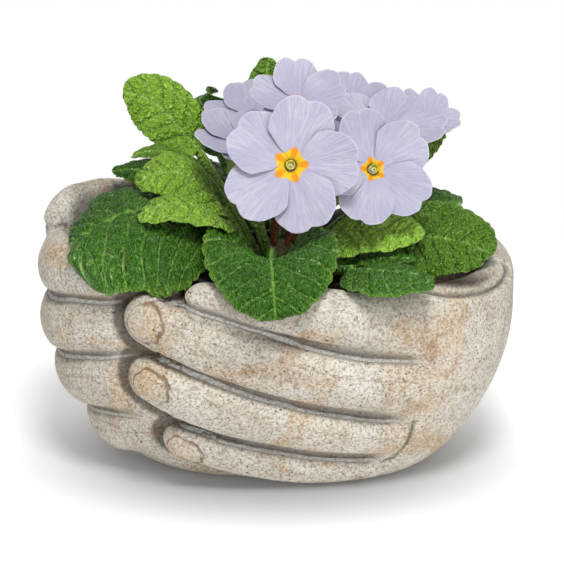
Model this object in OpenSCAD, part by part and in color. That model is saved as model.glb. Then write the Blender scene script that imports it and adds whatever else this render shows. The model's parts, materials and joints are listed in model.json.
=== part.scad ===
// Cupped-hands planter, cast in stone: two hands that hold a potted primrose.
// The front of the planter faces -Y, the fingers point to -X and the wrists to +X.
// The origin is the centre of the foot, on the ground.

/* [Casting] */
// Width of the casting, from the wrapped fingers to the heels of the hands
body_w = 220; // [196:1:250]
// Depth of the casting, front to back
body_d = 160; // [144:1:184]
// Height of the rim above the ground
rim_h = 100; // [94:1:112]
// How much lower the rim is between the heels of the hands
heel_dip = 3; // [0:1:10]
// Thickness of the stone wall
wall = 16; // [13:0.5:18]
// Thickness of the stone floor
floor_t = 12; // [9:0.5:15]
// Share of the full width that is left at the foot of the bowl
foot_share = 0.63; // [0.56:0.01:0.68]
// Height at which the bowl reaches its full width
swell_h = 75; // [70:1:80]
// Depth of the creases between the fingers
crease_depth = 6; // [5:0.5:7]
// Radius of the rounded top edge of the palms
rim_round = 9; // [6:0.5:10]

/* [Fingers] */
// Radius of the index, middle and ring fingers at the knuckle
finger_r = 16.5; // [15:0.5:17.5]
// Radius of the little fingers at the knuckle
little_r = 15; // [13:0.5:16]
// How much narrower a finger is at its tip than at its knuckle
taper = 2; // [1:0.5:3]
// How far the back hand's fingers sink where they pass under the front hand's
tuck = 7; // [6:0.5:9]

/* [Foot and drain] */
// Radius of the foot disc that closes the floor
disc_r = 40; // [36:1:43]
// Radius of the drain hole
drain_r = 7; // [5:0.5:10]
// Clearance between two pieces of stone
stone_gap = 0.3; // [0.2:0.05:0.5]

/* [Grow pot] */
// Radius of the grow pot's rim
pot_r = 47; // [44:1:50]
// Height of the grow pot
pot_h = 80; // [74:1:84]
// Radius of the grow pot's foot
pot_foot_r = 33; // [30:1:36]
// Wall thickness of the grow pot
pot_wall = 1.2; // [1:0.1:2]
// Height of the grow pot's rolled rim
pot_lip_h = 7; // [5:1:9]
// Radius of each drain hole in the grow pot
pot_hole_r = 3; // [2:0.5:4]
// Depth of the soil's surface below the grow pot's rim
soil_drop = 6; // [4:1:9]
// Clearance between the soil and the grow pot
soil_gap = 0.3; // [0.2:0.05:0.5]

/* [Primrose leaves] */
// Radius of the crown that the leaves grow from
crown_r = 12; // [11:0.5:13]
// Height of the crown above the soil
crown_h = 15; // [14:0.5:17]
// Thickness of a leaf blade
leaf_t = 1.2; // [0.9:0.1:1.5]
// Width of a leaf stalk
petiole_w = 5; // [4:0.5:5.5]
// Thickness of a leaf stalk
petiole_t = 3; // [2.5:0.5:3.5]
// Clearance between a leaf or flower stalk and the crown that it grows from
bud_gap = 0.3; // [0.2:0.05:0.5]

/* [Primrose flowers] */
// Diameter of the large open flowers, as a share of the size drawn here
flower_size = 1; // [0.9:0.01:1.04]
// Thickness of a petal
petal_t = 0.9; // [0.7:0.1:1.1]
// Radius of a flower stalk
stalk_r = 1.3; // [1:0.1:1.5]
// Radius of a flower's tube below the petals
tube_r = 2.2; // [1.8:0.1:2.4]
// Length of a flower's tube, with the green calyx around it
tube_l = 20; // [18:1:22]
// Radius of the golden eye in a flower
eye_r = 8; // [7:0.5:9]

/* [Hidden] */
$fn = 16;
half_w = body_w / 2;
half_d = body_d / 2;
// Step around the bowl in degrees, how square its outline is, and how quickly it swells above the foot.
turn = 7.5;
roundness = 2.3;
swell_power = 0.7;
// How deep the front fingertips lap into the back hand, and where the seam starts and ends.
lap = 9;
seam_start = 243;
seam_end = 357;

// Stations of the finger centre lines, from the tip: angle around the bowl and height in a bowl
// whose rim is at drawn_rim_h; the heights follow the rim.
drawn_rim_h = 100;
index_path = [[252, 92], [260, 90.5], [269, 88.5], [281, 86], [293, 83], [306, 79]];
middle_path = [[239, 85], [248, 80], [258, 73.5], [270, 66.5], [282, 60], [294, 54], [306, 48]];
ring_path = [[239, 55], [248, 50], [258, 43.5], [270, 37], [282, 31], [294, 26], [306, 21]];
little_path = [[243, 19], [252, 15], [262, 11], [273, 7], [285, 4], [297, 3]];
back_index_path = [[240, 93], [228, 94], [214, 93], [196, 92], [178, 91], [160, 90],
    [142, 89], [124, 87], [106, 84], [88, 80]];
back_middle_path = [[246, 84], [230, 77], [214, 72], [196, 68], [178, 66], [160, 64],
    [142, 62], [124, 60], [106, 56], [88, 51]];
back_ring_path = [[246, 55], [230, 48], [214, 43], [196, 40], [178, 38], [160, 37],
    [142, 35], [124, 32], [106, 28], [88, 24]];
back_little_path = [[244, 26], [230, 20], [214, 15], [196, 13], [178, 12], [160, 11.5],
    [142, 11], [124, 10.5], [106, 10], [90, 10]];
back_thumb_path = [[166, 106], [155, 105], [144, 103], [130, 99], [114, 94]];

// How wide the bowl is at height z, as a share of its full width.
function swell(z) =
    foot_share + (1 - foot_share) * pow(sin(90 * min(z, swell_h) / swell_h), swell_power);

// The bowl's outer face at angle a and height z, and the direction that it faces there.
function on_bowl(a, z) =
    let (c = cos(a), s = sin(a),
         reach = swell(z) / pow(pow(abs(c), roundness) + pow(abs(s), roundness), 1 / roundness))
    [half_w * reach * c, half_d * reach * s, z];
function facing(a, z) =
    let (around = on_bowl(a + 1, z) - on_bowl(a - 1, z),
         up = on_bowl(a, z + 1) - on_bowl(a, max(z - 1, 0)),
         out = cross(around, up))
    out / norm(out);
function inside(a, z, depth) = on_bowl(a, z) - depth * facing(a, z);

// A soft step from 0 to 1.
function ramp(t) = let (u = min(max(t, 0), 1)) u * u * (3 - 2 * u);

// How deep the palms lie below the tops of the fingers at angle a, and how high the rim is there.
function palm_depth(a) = crease_depth * ramp((a - 62) / 20) * ramp((312 - a) / 16);
function rim_at(a) = rim_h - heel_dip * pow((1 + cos(a)) / 2, 3);

// A stack of closed rings, capped at both ends.
module loft(rings) {
    n = len(rings[0]);
    m = len(rings);
    polyhedron(
        [for (r = rings) for (p = r) p],
        concat(
            [for (i = [0:m - 2]) for (j = [0:n - 1])
                let (k = (j + 1) % n) [i * n + j, (i + 1) * n + j, (i + 1) * n + k]],
            [for (i = [0:m - 2]) for (j = [0:n - 1])
                let (k = (j + 1) % n) [i * n + j, (i + 1) * n + k, i * n + k]],
            [[for (j = [0:n - 1]) j], [for (j = [n - 1:-1:0]) (m - 1) * n + j]]));
}

// The bowl that both palms form together, or its inner part that starts at a given depth.
module bowl(depth = 0, top = 0) {
    low = [-2, 0, 3, 7, 12, 20, 30, 42, 56, swell_h - 3];
    loft(concat(
        [for (z = low) [for (a = [0:turn:359])
            let (p = inside(a, max(z, 0.01), max(palm_depth(a), depth))) [p.x, p.y, z]]],
        [for (t = [0:30:90]) [for (a = [0:turn:359])
            let (p = inside(a, swell_h, max(palm_depth(a), depth) + rim_round * (1 - cos(t))))
            [p.x, p.y, top + rim_at(a) - palm_depth(a) - rim_round * (1 - sin(t))]]]));
}

// The hollow of the bowl, open at the top.
module hollow() {
    corner_round = 3;
    levels = [floor_t, floor_t + corner_round, 22, 34, 48, 62, swell_h, rim_h + 40];
    loft([for (z = levels) [for (a = [0:turn:359])
        let (corner = 2 * max(0, corner_round - (z - floor_t)), p = inside(a, min(z, swell_h), wall + corner))
        [p.x, p.y, z]]]);
}

// A finger along a path of stations; it sinks by tuck where it passes under other fingers.
module finger(path, knuckle_r, sink_to = 0, grow = 0) {
    last = len(path) - 1;
    places = [for (i = [0:last])
        let (r = knuckle_r - taper * (1 - i / last),
             sink = sink_to * ramp((path[i][0] - 205) / 30))
        [inside(path[i][0], path[i][1] * rim_h / drawn_rim_h, r + sink), r + grow]];
    for (i = [0:last - 1])
        hull() {
            translate(places[i][0]) sphere(places[i][1]);
            translate(places[i + 1][0]) sphere(places[i + 1][1]);
        }
}

module front_fingers(grow = 0) {
    finger(index_path, finger_r, 0, grow);
    finger(middle_path, finger_r, 0, grow);
    finger(ring_path, finger_r, 0, grow);
    finger(little_path, little_r, 0, grow);
}

module back_fingers() {
    finger(back_index_path, finger_r, tuck);
    finger(back_middle_path, finger_r, tuck);
    finger(back_ring_path, finger_r, tuck);
    finger(back_little_path, little_r, tuck);
    finger(back_thumb_path, finger_r);
}

// The side of the seam between the hands that belongs to the front hand.
module front_side(gap = 0) {
    from = on_bowl(seam_start, swell_h);
    to = on_bowl(seam_end, swell_h);
    translate([from.x, from.y, 0])
        rotate([0, 0, atan2(to.y - from.y, to.x - from.x)])
            translate([-body_w, -body_w + gap, -1]) cube([3 * body_w, body_w, 2 * rim_h]);
}

// The front hand's fingers; beyond the seam they only lap over the back hand.
module lapping_fingers(gap = 0) {
    difference() {
        front_fingers(gap);
        difference() {
            bowl(lap + gap, 2 * rim_h);
            front_side();
        }
    }
}

module above_ground() {
    translate([-body_w, -body_w, 0]) cube([2 * body_w, 2 * body_w, 2 * rim_h]);
}

module disc_seat() {
    translate([0, 0, -1]) cylinder(r = disc_r + stone_gap, h = floor_t + 2, $fn = 64);
}

module front_hand() {
    color([0.72, 0.67, 0.59])
    difference() {
        intersection() {
            union() {
                intersection() { bowl(); front_side(); }
                lapping_fingers();
            }
            above_ground();
        }
        hollow();
        disc_seat();
    }
}

module back_hand() {
    color([0.68, 0.64, 0.57])
    difference() {
        intersection() {
            union() { bowl(); back_fingers(); }
            above_ground();
        }
        front_side(stone_gap);
        lapping_fingers(stone_gap);
        hollow();
        disc_seat();
    }
}

module foot_disc() {
    color([0.6, 0.56, 0.5])
    difference() {
        cylinder(r = disc_r, h = floor_t, $fn = 96);
        translate([0, 0, -1]) cylinder(r = drain_r, h = floor_t + 2, $fn = 48);
    }
}

soil_z = floor_t + pot_h - soil_drop;
// A pot that comes nearer to the rim than pot_below_rim lifts the leaves and flowers with its top.
pot_below_rim = 8;
pot_rise = max(0, floor_t + pot_h - (rim_h - pot_below_rim));

// The pot's radius outside, at height z above its foot.
function pot_radius(z) = pot_foot_r + (pot_r - pot_wall - 1 - pot_foot_r) * z / pot_h;

module grow_pot() {
    color([0.16, 0.15, 0.14])
    translate([0, 0, floor_t])
    difference() {
        rotate_extrude($fn = 96) polygon([
            [0, 0], [pot_foot_r, 0], [pot_radius(pot_h - pot_lip_h), pot_h - pot_lip_h],
            [pot_r, pot_h - pot_lip_h], [pot_r, pot_h], [pot_radius(pot_h) - pot_wall, pot_h],
            [pot_radius(pot_wall) - pot_wall, pot_wall], [0, pot_wall]]);
        for (a = [0:60:300])
            rotate([0, 0, a]) translate([pot_foot_r * 0.65, 0, -1])
                cylinder(r = pot_hole_r, h = pot_wall + 2, $fn = 32);
    }
}

module potting_soil() {
    color([0.2, 0.14, 0.1])
    translate([0, 0, floor_t])
    rotate_extrude($fn = 96) polygon([
        [0, pot_wall + soil_gap], [pot_radius(pot_wall) - pot_wall - soil_gap, pot_wall + soil_gap],
        [pot_radius(pot_h - soil_drop) - pot_wall - soil_gap, pot_h - soil_drop], [0, pot_h - soil_drop]]);
}

module crown() {
    color([0.35, 0.45, 0.2])
    translate([0, 0, soil_z]) cylinder(r = crown_r, h = crown_h, $fn = 64);
}

// Each leaf: its direction at the crown in degrees and its height above the soil; its middle and its
// tip, as shares of the bowl's half width and half depth and as a height over the rim; its half width;
// where along it the blade starts; its roll in degrees; how far its edges droop; how deep its base is notched.
LEAVES = [
    ["leaf_left_front", 205, 3, [-0.44, -0.35, 25.5], [-0.83, -0.55, 14], 43, 0.28, 13, 0.35, 0],
    ["leaf_front", 270, 2.5, [-0.02, -0.66, 15], [0, -1.14, -5], 30, 0.5, 0, 0.1, 0.9],
    ["leaf_left_upper", 186, 7, [-0.33, -0.15, 34], [-0.58, -0.17, 33.5], 16, 0.25, 15, 0.12, 0.1],
    ["leaf_left_lower", 222, 8.5, [-0.31, -0.45, 29], [-0.56, -0.5, 26.5], 14, 0.27, 5, 0.2, 0.1],
    ["leaf_left_tall", 140, 7, [-0.4, 0.35, 47], [-0.65, 0.46, 62], 14.5, 0.38, 60, 0.1, 0.1],
    ["leaf_left_small", 116, 12, [-0.27, 0.58, 40], [-0.27, 0.7, 60], 11, 0.38, 30, 0.1, 0.1],
    ["leaf_left_back", 163, 2.5, [-0.36, 0.34, 19], [-0.7, 0.44, 25], 12, 0.38, 20, 0.15, 0.2],
    ["leaf_left_narrow", 170, 12, [-0.36, 0.15, 35], [-0.61, 0.18, 38], 6, 0.38, 20, 0.15, 0.2],
    ["leaf_right_upper", 332, 7, [0.3, -0.22, 12], [0.61, -0.34, 13], 18, 0.25, -20, 0.1, 0.1],
    ["leaf_right", 347, 2.5, [0.52, -0.14, 7], [0.89, -0.36, 4.5], 22, 0.33, -38, 0.12, 0.2],
    ["leaf_right_front", 297, 2.5, [0.38, -0.78, 8], [0.62, -0.88, 7], 17, 0.38, -5, 0.3, 0.1],
    ["leaf_right_small", 323, 2.5, [0.35, -0.37, 2], [0.57, -0.48, 5.5], 8, 0.42, -5, 0.1, 0.1],
    ["leaf_back_right", 50, 12, [0.5, 0.71, 27], [0.76, 0.82, 41], 14, 0.3, -35, 0.1, 0.1],
    ["leaf_back_top", 90, 12, [-0.04, 0.56, 43], [-0.03, 0.76, 73], 11, 0.3, 0, 0.1, 0.1],
    ["leaf_young", 250, 7, [-0.09, -0.36, 23], [-0.19, -0.46, 33], 8, 0.4, 30, 0.1, 0.1],
    ["leaf_back", 85, 2.5, [0.05, 0.6, 16], [0.08, 1.08, 6], 27, 0.35, 0, 0.12, 0.3],
    ["leaf_back_left", 125, 2.5, [-0.36, 0.58, 19], [-0.58, 1, 14], 23, 0.36, 0, 0.12, 0.3],
    ["leaf_back_low", 34, 2.5, [0.45, 0.44, 11], [0.8, 0.74, 4.5], 22, 0.38, 0, 0.12, 0.3]];

function unit(v) = v / norm(v);
function over_rim(p) = [p.x * half_w, p.y * half_d, rim_h + pot_rise + p.z];
function blade(u) = u <= 0 || u >= 1 ? 0 : pow(sin(180 * pow(u, 0.8)), 0.55);

// One row of points across a leaf, at share s along it, on its upper (side = 1) or lower (side = -1) face.
function leaf_row(start, bend, tip, row, s, side) =
    let (along = s == 0 ? [cos(row[1]), sin(row[1]), 0] : unit((1 - s) * (bend - start) + s * (tip - bend)),
         middle = (1 - s) * (1 - s) * start + 2 * s * (1 - s) * bend + s * s * tip,
         u = max((s - row[6]) / (1 - row[6]), 0),
         level = unit(cross(along, [0, 0, 1])),
         top = cross(level, along),
         roll = row[7] * min(u / 0.15, 1),
         across = level * cos(roll) + top * sin(roll),
         up = top * cos(roll) - level * sin(roll),
         half = max(u < 0.5 ? petiole_w / 2 : 1, row[5] * blade(u)),
         thick = petiole_t + (leaf_t - petiole_t) * min(u / 0.3, 1))
    [for (v = [-1:1/3:1.01])
        middle + across * v * half + up * (side * thick / 2 - row[8] * v * v * half)
        - along * (u > 0 ? row[9] * row[5] * pow(abs(v), 1.5) * pow(1 - u, 1.5) : 0)];

// A closed sheet between a top and a bottom grid of points, m rows of n points each.
module sheet(tops, bottoms) {
    m = len(tops);
    n = len(tops[0]);
    lower = m * n;
    polyhedron(
        concat([for (r = tops) each r], [for (r = bottoms) each r]),
        concat(
            [for (i = [0:m - 2]) for (j = [0:n - 2]) each let (a = i * n + j, b = a + n)
                [[a, b + 1, a + 1], [a, b, b + 1],
                 [lower + a, lower + a + 1, lower + b + 1], [lower + a, lower + b + 1, lower + b]]],
            [for (i = [0:m - 2]) each let (a = i * n, b = a + n, c = a + n - 1, d = c + n)
                [[a, lower + a, b], [b, lower + a, lower + b], [c, d, lower + c], [d, lower + d, lower + c]]],
            [for (j = [0:n - 2]) each let (a = j, b = (m - 1) * n + j)
                [[a, a + 1, lower + a], [a + 1, lower + a + 1, lower + a],
                 [b, lower + b, b + 1], [b + 1, lower + b, lower + b + 1]]]));
}

module leaf(row) {
    away = crown_r + bud_gap;
    start = [away * cos(row[1]), away * sin(row[1]), soil_z + row[2]];
    tip = over_rim(row[4]);
    bend = 2 * over_rim(row[3]) - (start + tip) / 2;
    steps = [for (i = [0:9]) sin(10 * i)];
    color([0.2, 0.45, 0.12])
    sheet([for (s = steps) leaf_row(start, bend, tip, row, s, 1)],
          [for (s = steps) leaf_row(start, bend, tip, row, s, -1)]);
}

// Each flower: its centre beside the crown and its height over the rim, the direction that it faces
// (around and up, in degrees), its diameter, its turn in degrees, how deep it is cupped, and the
// direction and distance from the middle of the crown at which its stalk stands.
FLOWERS = [
    [[6.5, -38, 49], [-93, 24], 64, 2, 4, 265, 8],
    [[44, -24, 43], [-72, 30], 58, 28, 6, 310, 8],
    [[10, -7.5, 70], [-85, 55], 45, 90, 5, 200, 1.5],
    [[-10.5, 22, 55], [-105, 67], 48, 44, 5, 150, 8],
    [[-16, -11, 52], [-58, 69], 46, 33, 5, 215, 8],
    [[35, 37, 55], [-80, 57], 40, 82, 5, 100, 8],
    [[50, 14, 52], [-80, 73], 58, 56, 5, 0, 8],
    [[71, 38, 50], [-50, 60], 33, 37, 5, 50, 8]];

function flower_centre(row) = [row[0].x, row[0].y, rim_h + pot_rise + row[0].z];
function flower_axis(row) =
    [cos(row[1][1]) * cos(row[1][0]), cos(row[1][1]) * sin(row[1][0]), sin(row[1][1])];
function flower_right(row) = unit(cross([0, 0, 1], flower_axis(row)));
function flower_up(row) = cross(flower_axis(row), flower_right(row));

// A point of a flower at angle a, at distance r from its centre, at height z in front of it.
function in_flower(row, a, r, z) =
    flower_centre(row) + flower_right(row) * r * cos(a + row[3]) + flower_up(row) * r * sin(a + row[3])
    + flower_axis(row) * z;
function petal_edge(a) = 0.8 + 0.2 * pow(abs(cos(2.5 * a)), 0.6) - 0.06 * pow(max(0, cos(5 * a)), 12);

// Five petals in one piece, around the mouth of the tube.
module petals(row) {
    radius = row[2] / 2 * flower_size;
    mouth = tube_r + bud_gap;
    shares = [0, 0.25, 0.5, 0.75, 1];
    turns = [for (a = [0:9:351]) a];
    function edge(q, a) = mouth + (radius - mouth) * q * (1 + (petal_edge(a) - 1) * q);
    function face(side) = [for (q = shares) [for (a = turns)
        in_flower(row, a, edge(q, a), row[4] * q * q + side * petal_t / 2)]];
    n = len(turns);
    m = len(shares);
    lower = m * n;
    color([0.8, 0.78, 0.9])
    polyhedron(
        concat([for (r = face(1)) each r], [for (r = face(-1)) each r]),
        concat(
            [for (i = [0:m - 2]) for (j = [0:n - 1]) each let (k = (j + 1) % n, a = i * n + j, b = i * n + k)
                [[a, b, b + n], [a, b + n, a + n],
                 [lower + a, lower + b + n, lower + b], [lower + a, lower + a + n, lower + b + n]]],
            [for (j = [0:n - 1]) each let (k = (j + 1) % n, o = (m - 1) * n)
                [[j, lower + k, k], [j, lower + j, lower + k],
                 [o + j, o + k, lower + o + k], [o + j, lower + o + k, lower + o + j]]]));
}

// The stalk of a flower with its calyx and tube, as one round piece swept along its path.
module stalk(row) {
    axis = flower_axis(row);
    end = flower_centre(row) - axis * (tube_l + petal_t);
    start = [row[6] * cos(row[5]), row[6] * sin(row[5]), soil_z + crown_h + bud_gap];
    rise = start + [0, 0, 0.35 * (end.z - start.z)];
    meet = end - axis * 12;
    path = concat(
        [for (s = [0:0.125:1]) pow(1 - s, 3) * start + 3 * s * pow(1 - s, 2) * rise
            + 3 * s * s * (1 - s) * meet + pow(s, 3) * end],
        [for (z = [2, 9, 11, tube_l + 1.5 * petal_t + bud_gap]) end + axis * z]);
    sizes = concat([for (s = [0:0.125:1]) stalk_r], [tube_r + 1.4, tube_r + 1.8, tube_r, tube_r]);
    last = len(path) - 1;
    sides = 8;
    rings = [for (i = [0:last])
        let (ahead = i == 0 ? [0, 0, 1] : unit(path[min(i + 1, last)] - path[i - 1]),
             x = unit(cross([1, 0, 0], ahead)), y = cross(ahead, x))
        [for (j = [0:sides - 1]) path[i] + sizes[i] * (x * cos(360 * j / sides) + y * sin(360 * j / sides))]];
    color([0.45, 0.55, 0.25]) loft(rings);
}

// The golden eyes of the flowers, each a five-pointed disc that lies in the mouth of its flower.
module flower_eyes() {
    color([0.95, 0.72, 0.1])
    for (row = FLOWERS)
        translate(flower_centre(row) + flower_axis(row) * (petal_t / 2 + 2 * bud_gap))
            rotate([0, 90 - row[1][1], row[1][0]]) rotate([0, 0, row[3]])
                linear_extrude(0.8) polygon([for (i = [0:9])
                    let (r = eye_r * (i % 2 == 0 ? 1 : 0.68) * row[2] / 64) [r * cos(36 * i), r * sin(36 * i)]]);
}

front_hand();
back_hand();
foot_disc();
grow_pot();
potting_soil();
crown();
for (row = LEAVES) leaf(row);
for (i = [0:7]) petals(FLOWERS[i]);
for (i = [0:7]) stalk(FLOWERS[i]);
flower_eyes();
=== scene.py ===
# %% [markdown]
# # A planter of two cupped hands, with a primrose
# The planter is cast stone: two hands whose fingers cross make a bowl. A primrose in a grow pot stands in it.
# The solids that the frame loads give every place and size. This script dresses them: it carves the stone
# from distance fields, grows veined leaves and petals, and mixes procedural finishes for all of them.

# %% Load the frame
import json
import math
from collections import namedtuple

import bpy
import mathutils
import numpy as np
import openvdb
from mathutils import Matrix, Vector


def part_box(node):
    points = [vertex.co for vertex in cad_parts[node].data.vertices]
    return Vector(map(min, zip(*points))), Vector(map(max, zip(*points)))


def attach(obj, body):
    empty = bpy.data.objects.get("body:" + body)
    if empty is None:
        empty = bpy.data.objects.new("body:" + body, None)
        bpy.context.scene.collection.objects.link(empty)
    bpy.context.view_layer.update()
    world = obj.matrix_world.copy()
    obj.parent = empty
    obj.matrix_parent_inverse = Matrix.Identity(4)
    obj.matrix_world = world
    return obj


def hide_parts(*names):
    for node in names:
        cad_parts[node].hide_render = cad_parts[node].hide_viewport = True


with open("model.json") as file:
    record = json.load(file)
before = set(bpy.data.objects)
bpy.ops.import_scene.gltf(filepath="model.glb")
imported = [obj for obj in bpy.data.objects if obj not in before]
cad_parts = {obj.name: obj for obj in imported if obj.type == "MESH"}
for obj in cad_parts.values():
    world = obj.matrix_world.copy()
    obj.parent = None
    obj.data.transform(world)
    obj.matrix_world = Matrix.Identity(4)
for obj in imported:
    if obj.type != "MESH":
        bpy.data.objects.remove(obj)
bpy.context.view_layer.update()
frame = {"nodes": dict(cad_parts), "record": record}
MM = 0.001

# %% [markdown]
# ## The camera
# The planter is seen from straight in front, about 20 degrees from above, through a long lens. The camera is
# aimed so that the planter stands a little below the middle of the picture, and nothing is shifted.

# %% Make the camera
VIEW_DISTANCE, MM_PER_PIXEL = 1300.0, 0.4689
ELEVATION = math.radians(20.0)
PICTURE, SENSOR = 564, 36.0
LOOK = np.array([0.0, 0.0, 50.0])
LOOK_PIXEL = (276.0, 345.0)


def link(name, data):
    """A new object in the scene, made of that data."""
    thing = bpy.data.objects.new(name, data)
    bpy.context.scene.collection.objects.link(thing)
    return thing


def aim(thing, way):
    """Turns a camera or a lamp so that it looks along a direction."""
    thing.rotation_mode = "QUATERNION"
    thing.rotation_quaternion = mathutils.Vector(way).to_track_quat("-Z", "Y")


def photo_camera():
    away = np.array([0.0, -math.cos(ELEVATION), math.sin(ELEVATION)])
    right = np.array([1.0, 0.0, 0.0])
    up = np.cross(right, -away)
    focal = VIEW_DISTANCE / MM_PER_PIXEL
    lens = bpy.data.cameras.new("view")
    lens.sensor_width = SENSOR
    lens.lens = SENSOR * focal / PICTURE
    lens.clip_start, lens.clip_end = 0.01, 50.0
    camera = link("view", lens)
    camera.location = (LOOK + away * VIEW_DISTANCE) * MM
    aim(camera, -away * focal + right * (PICTURE / 2 - LOOK_PIXEL[0]) - up * (PICTURE / 2 - LOOK_PIXEL[1]))
    bpy.context.scene.camera = camera
    return camera


camera = photo_camera()
bpy.context.scene.view_settings.view_transform = "Standard"
print("lens:", round(camera.data.lens, 1), "mm")

# %% [markdown]
# ## Measures of the casting
# The bowl is a stack of rounded outlines. `swell` says how wide it is at each height and `on_bowl` gives a
# point of its outer face from an angle around it and a height. All work below is in millimetres, and a
# mesh is brought to metres when it is made.

# %% Name the measures
HALF_W, HALF_D, RIM, WALL, FLOOR, DISC_R = 110.0, 80.0, 100.0, 16.0, 12.0, 40.0
HEEL_DIP, RIM_ROUND, PALM_DEPTH = 3.0, 9.0, 6.0  # the palm lies deeper than the fingers on it
FOOT_SHARE, SWELL_H, SWELL_POWER, ROUNDNESS = 0.63, 75.0, 0.7, 2.3
LAP, TUCK, STONE_GAP = 9.0, 7.0, 0.3  # how far the front hand laps over the back hand, which dips under it
SEAM_START, SEAM_END = 243.0, 357.0


def ramp(t):
    """Rises smoothly from 0 to 1 while t does."""
    t = np.clip(t, 0, 1)
    return t * t * (3 - 2 * t)


def bell(x, width):
    """1 at x = 0, falling to a third at the width."""
    return np.exp(-(x / width) ** 2)


def unit(v):
    v = np.asarray(v, float)
    return v / np.maximum(np.linalg.norm(v, axis=-1, keepdims=True), 1e-9)


def swell(z):
    return FOOT_SHARE + (1 - FOOT_SHARE) * np.sin(np.pi / 2 * np.clip(z, 0, SWELL_H) / SWELL_H) ** SWELL_POWER


def on_bowl(angle, z):
    c, s = np.cos(np.radians(angle)), np.sin(np.radians(angle))
    reach = swell(z) / (np.abs(c) ** ROUNDNESS + np.abs(s) ** ROUNDNESS) ** (1 / ROUNDNESS)
    return np.stack([HALF_W * reach * c, HALF_D * reach * s, z + 0 * angle], -1)


def facing(angle, z):
    """The direction in which the bowl's outer face looks."""
    around = on_bowl(angle + 1, z) - on_bowl(angle - 1, z)
    up = on_bowl(angle, z + 1) - on_bowl(angle, np.maximum(z - 1, 0))
    return unit(np.cross(around, up))


def angle_of(x, y):
    return np.degrees(np.arctan2(y / HALF_D, x / HALF_W)) % 360


def near_tips(angle):
    """1 at the side where the front fingers end, between 150 and 262 degrees, and 0 elsewhere."""
    return ramp((262 - angle) / 14) * ramp((angle - 150) / 20)


def palm_depth(angle):
    """How deep the palms lie under the bowl's outline, where the fingers cover them."""
    return PALM_DEPTH * ramp((angle - 62) / 20) * ramp((312 - angle) / 16)


print("outline at the rim:", on_bowl(np.array([270.0, 0.0]), np.full(2, SWELL_H)).round(1).tolist())

# %% [markdown]
# ## Helpers for meshes
# Every finished piece is one object at the origin with its place in its mesh, like the solids of the frame.
# Most pieces are a closed sheet (a leaf, a petal) or a stack of rings (a stalk, the crown, a throat).

# %% Mesh helpers
def new_object(name, points, faces):
    """A smooth mesh object from points in millimetres."""
    mesh = bpy.data.meshes.new(name)
    faces = [[int(k) for k in face] for face in faces]
    mesh.from_pydata((np.asarray(points, float) * MM).tolist(), [], faces, shade_flat=False)
    mesh.validate()
    return link(name, mesh)


def turned_out(points, quads):
    """The quads of a closed mesh, all turned over if they look inward."""
    p = points[quads]
    volume = sum(np.einsum("ij,ij->i", p[:, 0], np.cross(p[:, i], p[:, i + 1])).sum() for i in (1, 2))
    return quads[:, ::-1] if volume < 0 else quads


def sheet(name, above, below):
    """A closed sheet between two grids of points."""
    m, n = above.shape[:2]
    points = np.concatenate([above.reshape(-1, 3), below.reshape(-1, 3)])
    index = np.arange(m * n).reshape(m, n)
    upper = np.stack([index[:-1, :-1], index[1:, :-1], index[1:, 1:], index[:-1, 1:]], -1).reshape(-1, 4)
    border = np.concatenate([index[:, 0], index[-1, 1:], index[-2::-1, -1], index[0, -2:0:-1]])
    after = np.roll(border, -1)
    walls = np.stack([border, border + m * n, after + m * n, after], 1)
    return new_object(name, points, turned_out(points, np.concatenate([upper, upper[:, ::-1] + m * n, walls])))


def both_faces(grid):
    """The values of a grid for the upper and for the lower face of a sheet."""
    return np.tile(grid.ravel(), 2)


def edge_to_edge(count, crowd):
    """Shares from -1 to 1 that lie closer together at both edges."""
    return np.sin(np.linspace(-1, 1, count) * np.pi / 2 * crowd) / math.sin(np.pi / 2 * crowd)


def ring_stack(name, rings, first, last):
    """A closed skin over a stack of rings, which a fan of triangles ends at a point at either end."""
    m, sides = rings.shape[:2]
    index = np.arange(m * sides).reshape(m, sides)
    after = np.roll(index, -1, axis=1)
    quads = np.stack([index[:-1], after[:-1], after[1:], index[1:]], -1).reshape(-1, 4)
    fans = [(m * sides, b, a) for a, b in zip(index[0], after[0])]
    fans += [(m * sides + 1, a, b) for a, b in zip(index[-1], after[-1])]
    return new_object(name, np.vstack([rings.reshape(-1, 3), [first], [last]]), [*quads, *fans])


# %% Values for the finish, and what every piece is finished with
def add_values(thing, **values):
    """Numbers for each vertex, which a material can read by their names."""
    for name, numbers in values.items():
        attribute = thing.data.attributes.new(name, "FLOAT", "POINT")
        attribute.data.foreach_set("value", np.asarray(numbers, np.float32).ravel())


def add_uv(thing, uv):
    """A UV map from one pair of numbers for each vertex."""
    layer = thing.data.uv_layers.new(name="UVMap")
    corner = np.zeros(len(thing.data.loops), np.int32)
    thing.data.loops.foreach_get("vertex_index", corner)
    layer.data.foreach_set("uv", np.asarray(uv, np.float32)[corner].ravel())


def wear(thing, material):
    thing.data.materials.clear()
    thing.data.materials.append(material)


def finish_piece(thing, body, material, slot, *nodes):
    wear(thing, material)
    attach(thing, body)
    if nodes:
        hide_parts(*nodes)


print("helpers for meshes and pieces ready")

# %% [markdown]
# ## Helpers for materials
# A material is a tree of nodes around one Principled BSDF. `Tree` adds nodes in one line each, and `group`
# starts a node group with named inputs and outputs, so that two finishes can share an effect. A colour is
# built up like paint: `over` lays one more colour over what is there.

# %% Material helpers
def tone(red, green, blue):
    """A colour as the eye names it (0 to 255), turned into the linear values that shaders use."""
    shares = (c / 255 for c in (red, green, blue))
    return (*(c / 12.92 if c <= 0.04045 else ((c + 0.055) / 1.055) ** 2.4 for c in shares), 1.0)


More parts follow.
